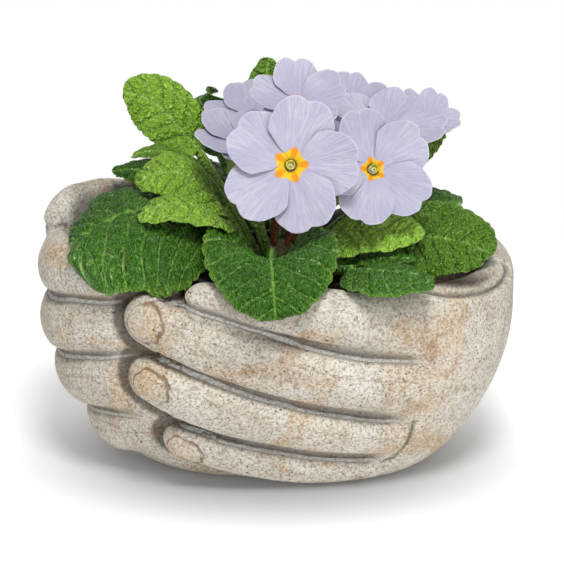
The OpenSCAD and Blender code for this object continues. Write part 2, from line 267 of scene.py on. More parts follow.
class Tree:
    """Adds nodes to a node tree. Inputs are given by name, or by number as i0, i1 and so on."""
    def __init__(self, tree):
        self.tree, self.nodes, self.links = tree, tree.nodes, tree.links

    def put(self, socket, value):
        if isinstance(value, bpy.types.NodeSocket):
            self.links.new(value, socket)
        elif value is not None:
            socket.default_value = value

    def add(self, kind, settings=None, **inputs):
        node = self.nodes.new(kind)
        for key, value in (settings or {}).items():
            setattr(node, key, value)
        for key, value in inputs.items():
            numbered = key[0] == "i" and key[1:].isdigit()
            self.put(node.inputs[int(key[1:]) if numbered else key.replace("_", " ")], value)
        return node

    def math(self, operation, a, b=None):
        return self.add("ShaderNodeMath", dict(operation=operation), i0=a, i1=b).outputs[0]

    def times(self, a, b):
        return self.math("MULTIPLY", a, b)

    def plus(self, a, b):
        return self.math("ADD", a, b)

    def minus(self, a, b):
        return self.math("SUBTRACT", a, b)

    def larger(self, a, b):
        return self.math("MAXIMUM", a, b)

    def power(self, a, b):
        return self.math("POWER", a, b)

    def vector(self, x, y, z):
        return self.add("ShaderNodeCombineXYZ", X=x, Y=y, Z=z).outputs[0]

    def length(self, v):
        return self.add("ShaderNodeVectorMath", dict(operation="LENGTH"), i0=v).outputs["Value"]

    def mix(self, share, a, b, blend="MIX"):
        settings = dict(data_type="RGBA", blend_type=blend)
        return self.add("ShaderNodeMix", settings, i0=share, i6=a, i7=b).outputs[2]

    def over(self, below, share, most, colour, blend="MIX"):
        """Lays a colour over what is below, by the share times the most that it may cover."""
        return self.mix(self.times(share, most), below, colour, blend)

    def band(self, value, low, high, to_low=0.0, to_high=1.0):
        """Goes smoothly from one number to another while the value goes from low to high."""
        return self.add("ShaderNodeMapRange", dict(clamp=True, interpolation_type="SMOOTHSTEP"),
                        i0=value, i1=low, i2=high, i3=to_low, i4=to_high).outputs[0]

    def noise(self, where, scale, detail=3.0, rough=0.55, distortion=0.0):
        return self.add("ShaderNodeTexNoise", Vector=where, Scale=scale, Detail=detail, Roughness=rough,
                        Distortion=distortion).outputs[0]

    def cells(self, where, scale, feature="F1"):
        node = self.add("ShaderNodeTexVoronoi", dict(feature=feature), Vector=where, Scale=scale)
        return node.outputs["Distance"]

    def where(self, kind="Object"):
        return self.add("ShaderNodeTexCoord").outputs[kind]

    def value(self, name):
        return self.add("ShaderNodeAttribute", dict(attribute_name=name)).outputs["Fac"]

    def use(self, tree, **inputs):
        return self.add("ShaderNodeGroup", dict(node_tree=tree), **inputs).outputs

    def end_with(self, **results):
        """Hands the results of a group to its outputs."""
        for label, value in results.items():
            self.put(self.end.inputs[label], value)
        return self.tree

    def finish(self, colour, height, strength, depth, roughness=None):
        """Ends a material with its colour, its roughness and a bump of that depth in metres."""
        bump = self.add("ShaderNodeBump", Strength=strength, Distance=depth, Height=height)
        self.put(self.shader.inputs["Base Color"], colour)
        self.put(self.shader.inputs["Roughness"], roughness)
        self.put(self.shader.inputs["Normal"], bump.outputs[0])
        return self.material


# %% Groups and materials
SKIN_OUTPUTS = dict(Color="Color", Roughness="Float", Height="Float")


def group(name, inputs, outputs=SKIN_OUTPUTS, kind="ShaderNodeTree"):
    """A node group. An input is given by its usual number, or by its kind where it has none."""
    tree = bpy.data.node_groups.new(name, kind)
    for label, value in inputs.items():
        told = value if isinstance(value, str) else {int: "Int", float: "Float"}[type(value)]
        socket = tree.interface.new_socket(label, in_out="INPUT", socket_type="NodeSocket" + told)
        if told != value:
            socket.default_value = value
    for label, told in outputs.items():
        tree.interface.new_socket(label, in_out="OUTPUT", socket_type="NodeSocket" + told)
    helper = Tree(tree)
    helper.start, helper.end = tree.nodes.new("NodeGroupInput"), tree.nodes.new("NodeGroupOutput")
    helper.take = helper.start.outputs
    return helper


def material(name, **constants):
    made = bpy.data.materials.new(name)
    made.use_nodes = True
    helper = Tree(made.node_tree)
    helper.material, helper.shader = made, helper.nodes["Principled BSDF"]
    for key, value in constants.items():
        helper.shader.inputs[key.replace("_", " ")].default_value = value
    return helper


def group_material(name, tree, strength, depth, reads, numbers=None, **constants):
    """A material that is one group, which reads values of the vertices by the names in `reads`."""
    skin = material(name, **constants)
    inputs = {label: skin.value(attribute) for label, attribute in reads.items()}
    made = skin.use(tree, **inputs, **(numbers or {}))
    return skin.finish(made["Color"], made["Height"], strength, depth, made["Roughness"])


print("material helpers ready")

# %% [markdown]
# ## The hands as distance fields
# Fingers that grow out of a palm have no clean patches of their own, so a mesh of quads is hard to lay over
# them by hand. A distance field does it in a natural way: each shape is a number in space that says how far
# its skin is, the smallest number of two shapes joins them, and a softened smallest number adds a fillet.
# The whole casting becomes one field, is parted into the two hands, and is turned into quads at the end.

# %% The grid of points
STEP = 1.24
LOW, HIGH = np.array([-114.0, -84.0, -3.0]), np.array([114.0, 84.0, 126.0])
COUNT = np.ceil((HIGH - LOW) / STEP).astype(int)
EMPTY = 30.0  # the value of a field where no shape is near
xs, ys, zs = (np.float32(LOW[i]) + np.arange(COUNT[i], dtype=np.float32) * np.float32(STEP) for i in range(3))
X, Y, Z = xs[:, None, None], ys[None, :, None], zs[None, None, :]
print("grid:", COUNT.tolist(), "points:", int(COUNT.prod()))

# %% Ways to join fields
def join(a, b, soft):
    """The union of two fields, with a fillet of about that size."""
    h = np.maximum(soft - np.abs(a - b), 0) / soft
    return np.minimum(a, b) - h * h * soft / 4


def cut_to(a, b, soft):
    """What two fields have in common, with a rounded edge."""
    return -join(-a, -b, soft)


def round_edge(a, b, radius):
    """What two fields have in common, with a true quarter-round edge."""
    outside = np.hypot(np.maximum(a + radius, 0), np.maximum(b + radius, 0)) - radius
    return np.where((a > -radius) & (b > -radius), outside, np.maximum(a, b))


# %% The bowl's field
def bowl_field(x, y, z):
    """How far the bowl's outer face is: its stretched radius, divided by how fast that grows there."""
    ax, ay = np.abs(x) / HALF_W, np.abs(y) / HALF_D
    ring = (ax ** ROUNDNESS + ay ** ROUNDNESS) ** (1 / ROUNDNESS) + 1e-4
    turn = np.pi / 2 * np.clip(z, 3.0, SWELL_H) / SWELL_H
    climb = (1 - FOOT_SHARE) * SWELL_POWER * np.sin(turn) ** (SWELL_POWER - 1)
    climb = climb * np.cos(turn) * np.pi / 2 / SWELL_H
    gx = (ax / ring) ** (ROUNDNESS - 1) / HALF_W
    gy = (ay / ring) ** (ROUNDNESS - 1) / HALF_D
    return (ring - swell(z)) / np.sqrt(gx * gx + gy * gy + climb * climb)


bowl = bowl_field(X, Y, Z)
around = angle_of(X, Y) + 0 * Z[:, :, :1]
sunk = palm_depth(around)
rim_here = RIM - HEEL_DIP * ((1 + np.cos(np.radians(around))) / 2) ** 3 - sunk
palms = round_edge(bowl + sunk, Z - rim_here, RIM_ROUND)
print("palms:", palms.shape, round(float(palms.min()), 1))

# %% [markdown]
# ## Fingers
# A finger follows stations of angle, height and half width. It is flatter than it is wide, fills out at its
# joints and ends in a rounded tip. The field of a finger is the distance to a chain of short rounded rods,
# squeezed across the bowl's wall. Only the points near each rod are worked out, which keeps this quick.

# %% Stations of the fingers
FRONT_FINGERS = {
    "index": [(253, 95, 9.5), (262, 93.5, 11), (270, 91.5, 12), (281, 88.5, 12.6), (293, 85, 13),
              (306, 81.5, 14)],
    "middle": [(239, 85, 12.5), (248, 79, 15.3), (258, 72.3, 16.2), (270, 64.7, 16), (282, 58.4, 15.4),
               (294, 53.2, 15), (306, 49, 15)],
    "ring": [(239, 55, 12.3), (248, 47.3, 14.6), (258, 40.4, 15.2), (270, 34.6, 14), (282, 29.8, 13.2),
             (294, 25.9, 12.4), (305, 23, 11.5)],
    "little": [(243, 21, 10.5), (252, 16.5, 12), (262, 11.8, 12.2), (273, 7.6, 12.2), (285, 4.5, 11.8),
               (297, 2.5, 10.5), (305, 2, 9)],
}
BACK_FINGERS = {
    "index": [(240, 96, 13), (228, 98, 14), (214, 98.5, 14.5), (196, 95, 15.2), (178, 91, 15.5),
              (160, 90, 15.5), (142, 89, 15.3), (124, 87, 15.5), (106, 84, 15.5), (88, 80, 15)],
    "middle": [(246, 84, 14), (230, 79, 14.6), (214, 74, 15.4), (196, 68, 15.5), (178, 65, 15.5),
               (160, 63.5, 15.5), (142, 62, 15.4), (124, 60, 15.6), (106, 56, 15.6), (88, 51, 15)],
    "ring": [(246, 55, 13.5), (230, 49, 15), (214, 44, 15.6), (196, 40, 15.6), (178, 38, 15.4), (160, 37, 15.2),
             (142, 35, 15.2), (124, 32, 15.4), (106, 28, 15.3), (88, 24, 14.5)],
    "little": [(244, 26, 12), (230, 20, 13.5), (214, 15.5, 14.4), (196, 13, 14.4), (178, 12, 14.4),
               (160, 11.5, 14.4), (142, 11, 14.4), (124, 10.5, 14.4), (106, 10, 14), (90, 10, 13)],
}
THUMB = [(167, 106, 12.5), (161, 106.5, 14.2), (154, 105.5, 15), (144, 103.5, 15.4), (130, 99, 16),
         (114, 94, 16.3)]


def smooth_path(stations, per_span=5):
    """Stations joined by a smooth curve through all of them."""
    p = np.array(stations, float)
    p = np.vstack([2 * p[0] - p[1], p, 2 * p[-1] - p[-2]])
    out = []
    for i in range(1, len(p) - 2):
        for t in np.arange(per_span) / per_span:
            a, b, c, d = p[i - 1:i + 3]
            bend, twist = 2 * a - 5 * b + 4 * c - d, 3 * b - a - 3 * c + d
            out.append(0.5 * (2 * b + (c - a) * t + bend * t ** 2 + twist * t ** 3))
    return np.array(out + [p[-2]])


# %% The field of a finger
def rod_field(box, start, end, out, halves, thicks):
    """The distance to one short rod, squeezed along `out`, at the points of a box of the grid."""
    x, y, z = (axis[part] - at for axis, part, at in zip((xs, ys, zs), box, start))
    x, y, z = x[:, None, None], y[None, :, None], z[None, None, :]
    d = end - start
    t = np.clip((x * d[0] + y * d[1] + z * d[2]) / (d @ d), 0, 1)
    x, y, z = x - t * d[0], y - t * d[1], z - t * d[2]
    deep = x * out[0] + y * out[1] + z * out[2]
    wide = x * x + y * y + z * z - deep * deep
    half = halves[0] + (halves[1] - halves[0]) * t
    squeeze = half / (thicks[0] + (thicks[1] - thicks[0]) * t)
    s = np.sqrt(wide + (squeeze * deep) ** 2) + 1e-3
    return (s - half) * s / np.sqrt(wide + (squeeze * squeeze * deep) ** 2 + 1e-3)


def finger_field(stations, tucked=0.0, flat=0.8, deepest=13.0):
    path = smooth_path(stations)
    share = np.linspace(0, 1, len(path))
    joints = 0.035 * bell(share - 0.27, 0.07) + 0.045 * bell(share - 0.62, 0.09)
    half = path[:, 2] * (1 + joints - 0.02 * bell(share - 0.45, 0.08))
    thick = np.minimum(half * flat, deepest)
    drop = tucked * ramp((path[:, 0] - 205) / 30)
    out = facing(path[:, 0], path[:, 1])
    centre = on_bowl(path[:, 0], path[:, 1]) - out * (thick + drop)[:, None]
    field = np.full(tuple(COUNT), EMPTY, np.float32)
    for i in range(len(path) - 1):
        ends = centre[i:i + 2]
        reach = max(half[i], half[i + 1]) + 9
        lo = np.clip(((ends.min(0) - reach - LOW) / STEP).astype(int), 0, COUNT)
        hi = np.clip(((ends.max(0) + reach - LOW) / STEP).astype(int) + 1, 0, COUNT)
        box = tuple(slice(l, h) for l, h in zip(lo, hi))
        near = rod_field(box, *ends, unit(out[i] + out[i + 1]), half[i:i + 2], thick[i:i + 2])
        field[box] = np.minimum(field[box], near)
    return field


front_fingers = np.full(tuple(COUNT), EMPTY, np.float32)
for stations in FRONT_FINGERS.values():
    front_fingers = join(front_fingers, finger_field(stations), 1.2)
back_fingers = finger_field(THUMB, flat=0.92, deepest=15)
for stations in BACK_FINGERS.values():
    back_fingers = join(back_fingers, finger_field(stations, TUCK), 1.6)
print("fingers: deepest", round(float(front_fingers.min()), 1), round(float(back_fingers.min()), 1))

# %% [markdown]
# ## Hollow, floor and seam
# The hollow follows the outside at the wall's thickness and has a rounded lip and floor corner. The front
# hand keeps what lies on its side of the seam and its four fingers, which lap over the back hand. The back
# hand's face runs on a little way under the lap, so that the joint between the casts doesn't gape.

# %% Carve the casting and part it into two hands
MOAT_DEPTH, MOAT_WIDTH, LIP_ROUND, FOOT_ROUND, FACE_DEPTH, UNDER_LAP = 4.2, 6.0, 7.0, 2.5, 13.0, 1.2
hollow = round_edge(bowl + WALL, FLOOR - Z + 0 * bowl, 5.0)
# round the tips of the front fingers the back hand lies deeper, so that each tip stands clear
tip_moat = MOAT_DEPTH * bell(np.maximum(front_fingers, 0), MOAT_WIDTH) * near_tips(around)
casting = join(join(palms, back_fingers, 2.6) + tip_moat * (bowl > -FACE_DEPTH), front_fingers, 1.3)
casting = round_edge(cut_to(casting, -hollow, LIP_ROUND), -Z + 0 * bowl, FOOT_ROUND)
disc_seat = np.maximum(np.hypot(X, Y) - (DISC_R + STONE_GAP), Z - FLOOR - 1)
casting = np.maximum(casting, -disc_seat)

start, end = (on_bowl(np.array(angle), np.array(SWELL_H)) for angle in (SEAM_START, SEAM_END))
along = (end - start)[:2] / np.linalg.norm((end - start)[:2])
beyond = (Y - start[1]) * along[0] - (X - start[0]) * along[1]
lapped = np.maximum(front_fingers - 0.4, -np.maximum(bowl + LAP, -beyond))
front_part = np.minimum(beyond + 0 * Z, lapped)
sunk_face = 0.12 * ramp(-front_part / 0.6 + 1) * (front_part < 0.6)
front_field = np.maximum(casting, front_part)
back_field = np.maximum(casting + sunk_face, -UNDER_LAP - front_part)
print("casting:", round(float((casting < 0).mean() * COUNT.prod() * STEP ** 3 / 1000)), "cm3")

# %% [markdown]
# ## From fields to meshes
# OpenVDB turns a field into quads. Then every vertex learns where it lies: how near the nearest crease is,
# and how much stone there is around it. The finish reads these values for painted shade in the creases, and
# for dirt and painted shade in the hollow.

# %% Read a field at any point
def sample(field, points):
    g = np.clip((points - LOW) / STEP, 0, np.array(field.shape) - 1.001)
    i = g.astype(int)
    f = g - i
    out = 0
    for dx, dy, dz in np.ndindex(2, 2, 2):
        w = np.abs(1 - dx - f[:, 0]) * np.abs(1 - dy - f[:, 1]) * np.abs(1 - dz - f[:, 2])
        out = out + w * field[i[:, 0] + dx, i[:, 1] + dy, i[:, 2] + dz]
    return out


def outward(field, points, h=1.2):
    """The direction in which a field grows, which is away from its shape."""
    return unit(np.stack([sample(field, points + s) - sample(field, points - s) for s in np.eye(3) * h], -1))


def skin(field):
    grid = openvdb.FloatGrid(2.0)
    grid.copyFromArray(np.ascontiguousarray(np.clip(field, -3, 3), dtype=np.float32))
    points, quads = grid.convertToQuads(0.0)
    points = points.astype(float) * STEP + LOW
    return points, turned_out(points, quads)


# %% [markdown]
# ## Creases, nails and lines at the wrist
# The creases between the fingers are lines of angle and height. Each has a thin pale strip at its bottom,
# like the flash that a mould leaves. The stone above it is hollowed, and painted shade darkens it. Every
# vertex keeps its signed distance to the nearest crease, so that the finish can draw the strip with a crisp
# edge.

# %% Lines on the bowl
BACK_ANGLES = np.arange(90, 200, 6.0)


def between(one, other):
    """The line halfway between two fingers of the back hand."""
    heights = []
    for name in (one, other):
        p = np.array(sorted(BACK_FINGERS[name]))
        heights.append(np.interp(BACK_ANGLES, p[:, 0], p[:, 1]))
    return list(zip(BACK_ANGLES, (heights[0] + heights[1]) / 2))


CREASES = {
    "front index": [
        (242.9, 95.2), (250.5, 93.4), (256, 90.3), (260.2, 87.2), (264.4, 84.2), (268.7, 81.2), (273.4, 78.3),
        (277.8, 75.7), (286, 71.5), (294, 68.3), (300.7, 66.2), (307.5, 65.6)],
    "front middle": [
        (240.5, 67.5), (244.4, 65.2), (249, 61.9), (252.5, 59.5), (257.1, 56.3), (261.6, 53.2), (266.2, 50.5),
        (270.9, 48), (276.2, 45.2), (283.1, 42.3), (290.8, 39.3), (299.1, 36.1), (307.3, 34.2)],
    "front ring": [
        (239.9, 35.5), (243.8, 33.3), (248.9, 31), (254.8, 26.8), (262.8, 23.3), (271.1, 20.3), (280, 17.2),
        (289.2, 15), (298.7, 12.8), (305.4, 11.5)],
    "back index": between("index", "middle") + [(211.7, 86.6), (220.9, 88.8), (228.1, 90.5), (237, 92)],
    "back middle": between("middle", "ring") + [(205, 56.5), (218.2, 61.2), (228.7, 65), (236, 68.5)],
    "back ring": between("ring", "little") + [(213.2, 30.6), (225.6, 33.6), (233, 35.5)],
    "back thumb": [(112, 100), (124, 101), (136, 104), (150, 104.5), (164, 104), (176, 103)],
}
WRIST = [(307.3, 34.4), (308, 26.6), (308, 19.3), (307.6, 14.5), (305.4, 11.5)]
HEEL = [(306, 99.5), (312.9, 95.5), (317.9, 93.8), (323.2, 92.4), (328.5, 91.9), (335.8, 91.8), (343, 93),
        (349, 95)]
# tip, a place behind it, length and width
NAILS = [((236.5, 86.2), (251, 76.5), 10.8, 10.2), ((237.0, 56.3), (251, 45.5), 11.2, 9.2),
         ((241.0, 22.3), (255, 14.8), 12.0, 7.8)]
print("creases:", len(CREASES), "nails:", len(NAILS))

# %% Distances on the bowl
MID_H, SLOPE = 60.0, 1.06  # the height where lengths are measured, and the wall's length for each mm of height


def lengths(path):
    """How long a path is from its first point to each of its points."""
    return np.concatenate([[0], np.cumsum(np.linalg.norm(np.diff(path, axis=0), axis=1))])


def flat_place(angle, z):
    """Angle and height as millimetres around and up, near enough to measure small distances."""
    fine = np.arange(0, 361, 1.0)
    return np.stack([np.interp(angle, fine, lengths(on_bowl(fine, np.full(361, MID_H)))), z * SLOPE], -1)


def line_distance(place, line):
    """Distance from places to a line, the share along it of the nearest point, and the height above that."""
    p = flat_place(*np.array(line, float).T)
    best, where, above = np.full(len(place), 1e3), np.zeros(len(place)), np.zeros(len(place))
    for i in range(len(p) - 1):
        d = p[i + 1] - p[i]
        t = np.clip((place - p[i]) @ d / (d @ d), 0, 1)
        q = place - p[i] - t[:, None] * d
        r = np.linalg.norm(q, axis=1)
        closer = r < best
        best = np.where(closer, r, best)
        where = np.where(closer, (i + t) / (len(p) - 1), where)
        above = np.where(closer, q[:, 1], above)
    return best, where, above


print("once round the bowl:", round(float(flat_place(360.0, 0.0)[0])), "mm")

# %% What creases, lines and nails do to the stone
FAR, FAR_NAIL = 9.0, 3.0  # the values where no crease, line or nail is near
CREASE_HOLLOWS = ((1.5, 1.8, 1.9), (0.5, -1.5, 0.9))  # depth, place and width: above the strip and below it
WRIST_DEPTH, WRIST_WIDTH, HEEL_DEPTH, HEEL_WIDTH, NAIL_RISE, NAIL_GROOVE = 0.9, 0.9, 2.2, 1.7, 0.2, 0.6


def press_creases(place, outer):
    """How far the creases move each vertex, its signed distance to the nearest one, and how deep that is."""
    move, crease, nearest, kept = (np.full(len(place), start) for start in (0.0, FAR, FAR, 0.0))
    for line in CREASES.values():
        d, where, above = line_distance(place, line)
        fade = outer * ramp((1 - where) / 0.08)
        signed = np.where(above > 0, d, -d)
        move -= fade * sum(deep * bell(signed - at, width) for deep, at, width in CREASE_HOLLOWS)
        closer = (d < nearest) & (fade > 0.02)
        crease, kept = np.where(closer, signed, crease), np.where(closer, fade, kept)
        nearest = np.where(closer, d, nearest)
    return move, crease, kept


def press_lines(place, outer, angle, z, depth):
    """The same for the lines at the wrist and along the heel of the hand, and a patch above the heel line that
    the finish darkens as painted shade.
    """
    d, where, above = line_distance(place, WRIST)
    move = -outer * WRIST_DEPTH * bell(d, WRIST_WIDTH)
    line_at = np.minimum(FAR, d * 1.15 + FAR * (1 - outer))
    d, where, above = line_distance(place, HEEL)
    high = ramp((z - 84) / 4)
    lip = high * ramp((depth + 24) / 4)
    move -= lip * HEEL_DEPTH * bell(d, HEEL_WIDTH)
    line_at = np.minimum(line_at, d + FAR * (1 - lip))
    # the patch above the heel line, which the finish paints dark as shade
    heel = ramp((above - 1.0) / 4) * ramp((where - 0.02) / 0.1) * ramp((15 - d) / 10) * high
    return move, line_at, heel * ramp((346 - angle) / 30) * (angle > 290)


def press_nails(place, outer):
    """How far the nails move each vertex, and its distance from a nail's middle, which is 1 at the rim."""
    side, up = place.T
    waver = 0.05 * np.sin(side * 0.8 + up * 0.5) + 0.03 * np.sin(side * 1.9 - up * 1.3)
    move, nail = np.zeros(len(place)), np.full(len(place), FAR_NAIL)
    for tip, back, long, wide in NAILS:
        t, b = flat_place(*np.array([tip, back], float).T)
        u = unit(b - t)
        q = place - (t + u * long * 0.3)
        e = np.hypot((q @ u) / long, (q @ np.array([-u[1], u[0]])) / wide) + waver
        back_half = ramp(((q @ u) / long + 0.9) / 0.6)
        move += outer * NAIL_RISE * ramp((1.02 - e) / 0.3) - NAIL_GROOVE * bell(e - 1, 0.1) * outer * back_half
        nail = np.minimum(nail, e + FAR_NAIL * (1 - outer) + 0.5 * (1 - back_half))
    return move, nail


# %% Make the two hands
def make_hand(name, field):
    points, quads = skin(field)
    n = outward(field, points)
    z = points[:, 2]
    angle = angle_of(points[:, 0], points[:, 1])
    place = flat_place(angle, z)
    depth = bowl_field(*points.T)
    faces_out = np.einsum("ij,ij->i", n, facing(angle, np.clip(z, 1, SWELL_H)))
    outer = ramp((depth + 12) / 3) * ramp((faces_out + 0.25) / 0.4)
    crease_move, crease, crease_depth = press_creases(place, outer)
    line_move, line_at, heel = press_lines(place, outer, angle, z, depth)
    nail_move, nail = press_nails(place, outer)
    wave = np.sin(place[:, 0] * 0.9 + 0.35 * place[:, 1]) * np.sin(place[:, 0] * 0.055 + 1.3) ** 8
    wave *= 0.15 * outer * ramp(np.minimum(angle, 360 - angle) / 15)
    move = crease_move + line_move + nail_move + wave
    # painted shade: from stone close by, stone further off, round the front tips and over the patch above the
    # heel line
    close, wide = (np.clip(1 - sample(casting, points + n * reach) / reach, 0, 1) for reach in (3.2, 11))
    beside_tip = ramp((9.0 - sample(front_fingers, points)) / 8) * near_tips(angle) * outer
    beside_tip = beside_tip * (field is back_field)
    shelter = np.clip(0.6 * close + 0.7 * wide + 0.75 * beside_tip + 0.9 * heel, 0, 1)
    # the hollow is darker low down from dirt and painted shade; above the heel line it is painted shade only
    inside = np.maximum(ramp((-depth - 9) / 4) * ramp((RIM + 6 - z) / 22), heel)
    points = points + n * move[:, None]
    hand = new_object(name, points, quads)
    add_values(hand, crease=crease, crease_depth=crease_depth, line=line_at, nail=nail, shelter=shelter,
               inside=inside)
    print(name, "quads:", len(quads), "lowest:", points.min(0).round(1), "highest:", points.max(0).round(1))
    return hand


front_hand = make_hand("front_hand_carved", front_field)
back_hand = make_hand("back_hand_carved", back_field)

# %% [markdown]
# ## Cast stone
# The real finish is a buff cement mix: cream with warm tan clouds, sand that shows as fine light and dark
# grains, and small air holes. Painted shade greys the stone where other stone is close, above all in the
# creases, and dirt and painted shade darken the hollow. The groups below mix all of it from object
# coordinates and the values of the vertices.

# %% The crease's node group
def crease_group():
    """How much pale strip and painted shade lie at a distance in millimetres from the middle of a crease."""
    g = group("crease lines", dict(Distance=FAR, Depth=0.0, Line=FAR, Waver=0.5),
              dict(Strip="Float", Grime="Float", Height="Float"))
    waver = g.times(g.minus(g.take["Waver"], 0.5), 1.2)
    at = g.plus(g.take["Distance"], waver)
    strip = g.times(g.band(at, -0.75, -0.5), g.band(at, 0.9, 0.6))
    # painted shade: dark above and below the pale strip, and along the wrist and heel lines
    above = g.times(g.band(at, 0.65, 0.95), g.power(g.band(at, 7.0, 0.4), 1.9))
    below = g.times(g.band(at, -0.55, -0.85), g.power(g.band(at, -2.8, -0.7), 1.5))
    thin = g.power(g.band(g.plus(g.take["Line"], g.math("ABSOLUTE", waver)), 2.8, 0.2), 2.0)
    painted_groove_shade = g.larger(g.times(g.larger(above, g.times(below, 0.75)), g.take["Depth"]), thin)
    strip = g.times(strip, g.take["Depth"])
    return g.end_with(Strip=strip, Grime=painted_groove_shade, Height=g.minus(strip, g.times(painted_groove_shade, 0.5)))


CREASE_LINES = crease_group()
print("crease group:", len(CREASE_LINES.nodes), "nodes")

# %% The stone's node group
def stone_group():
    g = group("cast stone", dict(Crease=FAR, Depth=0.0, Line=FAR, Nail=FAR_NAIL, Inside=0.0, Shelter=0.0))
    where = g.where()
    cloud = g.noise(where, 12.0, 4.0, 0.6, 0.4)
    patch = g.noise(where, 22.0, 5.0, 0.68, 1.0)
    mottle = g.noise(where, 110.0, 4.0, 0.7)
    sand = g.noise(where, 720.0, 3.0, 0.75)
    grain = g.noise(where, 1300.0, 2.0, 0.7)
    body = g.mix(g.band(cloud, 0.36, 0.64), tone(207, 201, 187), tone(222, 218, 207))
    warm = g.times(g.band(patch, 0.49, 0.66), g.band(mottle, 0.28, 0.6, 0.35, 1.0))
    body = g.over(body, warm, 0.62, tone(204, 168, 122))
    rust = g.times(g.band(g.noise(where, 55.0, 4.0, 0.7), 0.56, 0.7), g.band(patch, 0.44, 0.6))
    body = g.over(body, rust, 0.5, tone(172, 128, 84))
    body = g.over(body, g.band(mottle, 0.44, 0.62), 0.24, tone(152, 136, 112))
    body = g.mix(g.band(sand, 0.49, 0.61, 0.0, 0.6), body, tone(132, 112, 86))
    body = g.mix(g.band(sand, 0.47, 0.36, 0.0, 0.42), body, tone(236, 231, 219))
    body = g.mix(g.band(grain, 0.56, 0.68, 0.0, 0.6), body, tone(92, 76, 56))
    # air holes: the middles of scattered cells, only where a slower noise lets them open
    hole = g.times(g.band(g.cells(where, 260.0), 0.17, 0.09), g.band(g.noise(where, 70.0, 2.0), 0.55, 0.62))
    speck = g.times(g.band(g.cells(where, 420.0), 0.22, 0.1), g.band(g.noise(where, 160.0, 2.0), 0.48, 0.58))
    opened = g.larger(hole, g.times(speck, 0.75))
    body = g.over(body, opened, 0.85, tone(48, 38, 30))
    # the rim of a nail is worn brown, painted shade greys the stone where other stone is close, and dirt and
    # painted shade darken the hollow
    nail = g.take["Nail"]
    nail_rim = g.times(g.band(nail, 0.84, 0.96), g.band(nail, 1.1, 1.0))
    nail_rim = g.times(nail_rim, g.band(mottle, 0.34, 0.52, 0.25, 1.0))
    body = g.over(body, nail_rim, 0.8, tone(122, 92, 58))
    body = g.over(body, g.band(nail, 1.0, 0.7), 0.2, tone(206, 172, 124))
    body = g.over(body, g.band(g.take["Shelter"], 0.2, 0.85), 0.85, tone(134, 131, 126), "MULTIPLY")
    body = g.over(body, g.take["Inside"], 0.85, tone(120, 102, 86), "MULTIPLY")
    # painted shade in the creases and lines, and the pale strip, lie over all of it
    lines = g.use(CREASE_LINES, Distance=g.take["Crease"], Depth=g.take["Depth"], Line=g.take["Line"],
                  Waver=mottle)
    speckled_groove_shade = g.times(lines["Grime"], g.band(sand, 0.3, 0.6, 1.0, 0.72))
    body = g.over(body, speckled_groove_shade, 0.92, tone(70, 67, 63))
    pale = g.mix(g.band(sand, 0.38, 0.62), tone(150, 148, 142), tone(204, 202, 196))
    body = g.mix(g.times(lines["Strip"], g.band(mottle, 0.3, 0.46, 0.5, 0.95)), body, pale)
    rough = g.plus(g.plus(g.times(sand, 0.9), g.times(grain, 0.45)), g.times(mottle, 0.8))
    rough = g.minus(g.plus(rough, g.times(lines["Height"], 0.7)), g.times(nail_rim, 0.4))
    return g.end_with(Color=body, Roughness=g.band(mottle, 0.3, 0.7, 0.78, 0.95),
                      Height=g.minus(rough, g.times(opened, 1.1)))


# %% Stone on the hands and the foot disc
STONE = stone_group()
STONE_LOOK = dict(strength=0.75, depth=0.001, Specular_IOR_Level=0.25)
STONE_READS = dict(Crease="crease", Depth="crease_depth", Line="line", Nail="nail", Inside="inside",
                   Shelter="shelter")
stone = group_material("cast stone", STONE, reads=STONE_READS, **STONE_LOOK)
finish_piece(front_hand, "hands", stone, "stone", "front_hand")
finish_piece(back_hand, "hands", stone, "stone", "back_hand")
wear(frame["nodes"]["foot_disc"], group_material("plain cast stone", STONE, reads={}, **STONE_LOOK))
print("stone on both hands and the foot disc")

# %% [markdown]
# ## Floor and light
# A wide pale floor, a large soft lamp high in front, a weaker low one, and an even sky.

# %% Floor, lamps and sky
FLOOR_SIZE = 6000.0
WHITE = (1, 1, 1, 1)


def make_floor():
    a = FLOOR_SIZE
    floor = new_object("floor", [(-a, -a, 0), (a, -a, 0), (a, a, 0), (-a, a, 0)], [(0, 1, 2, 3)])
    f = material("floor", Roughness=0.9, Specular_IOR_Level=0.0)
    where = f.where()
    ray = f.add("ShaderNodeLightPath").outputs
    seen = f.larger(f.larger(ray["Is Camera Ray"], ray["Is Glossy Ray"]), ray["Is Transmission Ray"])
    # the drawn shadow: an oval that is widest to the sides and a little towards the viewer
    stretch = dict(operation="MULTIPLY_ADD")
    oval = f.add("ShaderNodeVectorMath", stretch, i0=where, i1=(9.1, 12.8, 0), i2=(0, 0.23, 0)).outputs[0]
    shade = f.band(f.length(oval), 0.35, 1.4, 0.36, 1.0)
    drawn = f.minus(1.0, f.times(ray["Is Camera Ray"], f.minus(1.0, shade)))
    f.put(f.shader.inputs["Base Color"], f.mix(drawn, tone(0, 0, 0), tone(250, 250, 251)))
    lift = f.times(f.times(seen, 0.2), shade)
    white = f.add("ShaderNodeEmission", Color=WHITE, Strength=lift)
    near = f.add("ShaderNodeAddShader", i0=f.shader.outputs[0], i1=white.outputs[0])
    # further out the floor is plain white, so that no horizon shows
    glow = f.add("ShaderNodeEmission", Color=WHITE, Strength=1.0)
    far_away = f.times(seen, f.band(f.length(where), 0.22, 0.42))
    whole = f.add("ShaderNodeMixShader", i0=far_away, i1=near.outputs[0], i2=glow.outputs[0])
    f.put(f.nodes["Material Output"].inputs["Surface"], whole.outputs[0])
    floor.data.materials.append(f.material)


def lamp(name, place, target, size, watts):
    light = bpy.data.lights.new(name, "AREA")
    light.shape, light.size, light.energy = "DISK", size, watts
    thing = link(name, light)
    thing.location = place
    aim(thing, mathutils.Vector(target) - mathutils.Vector(place))


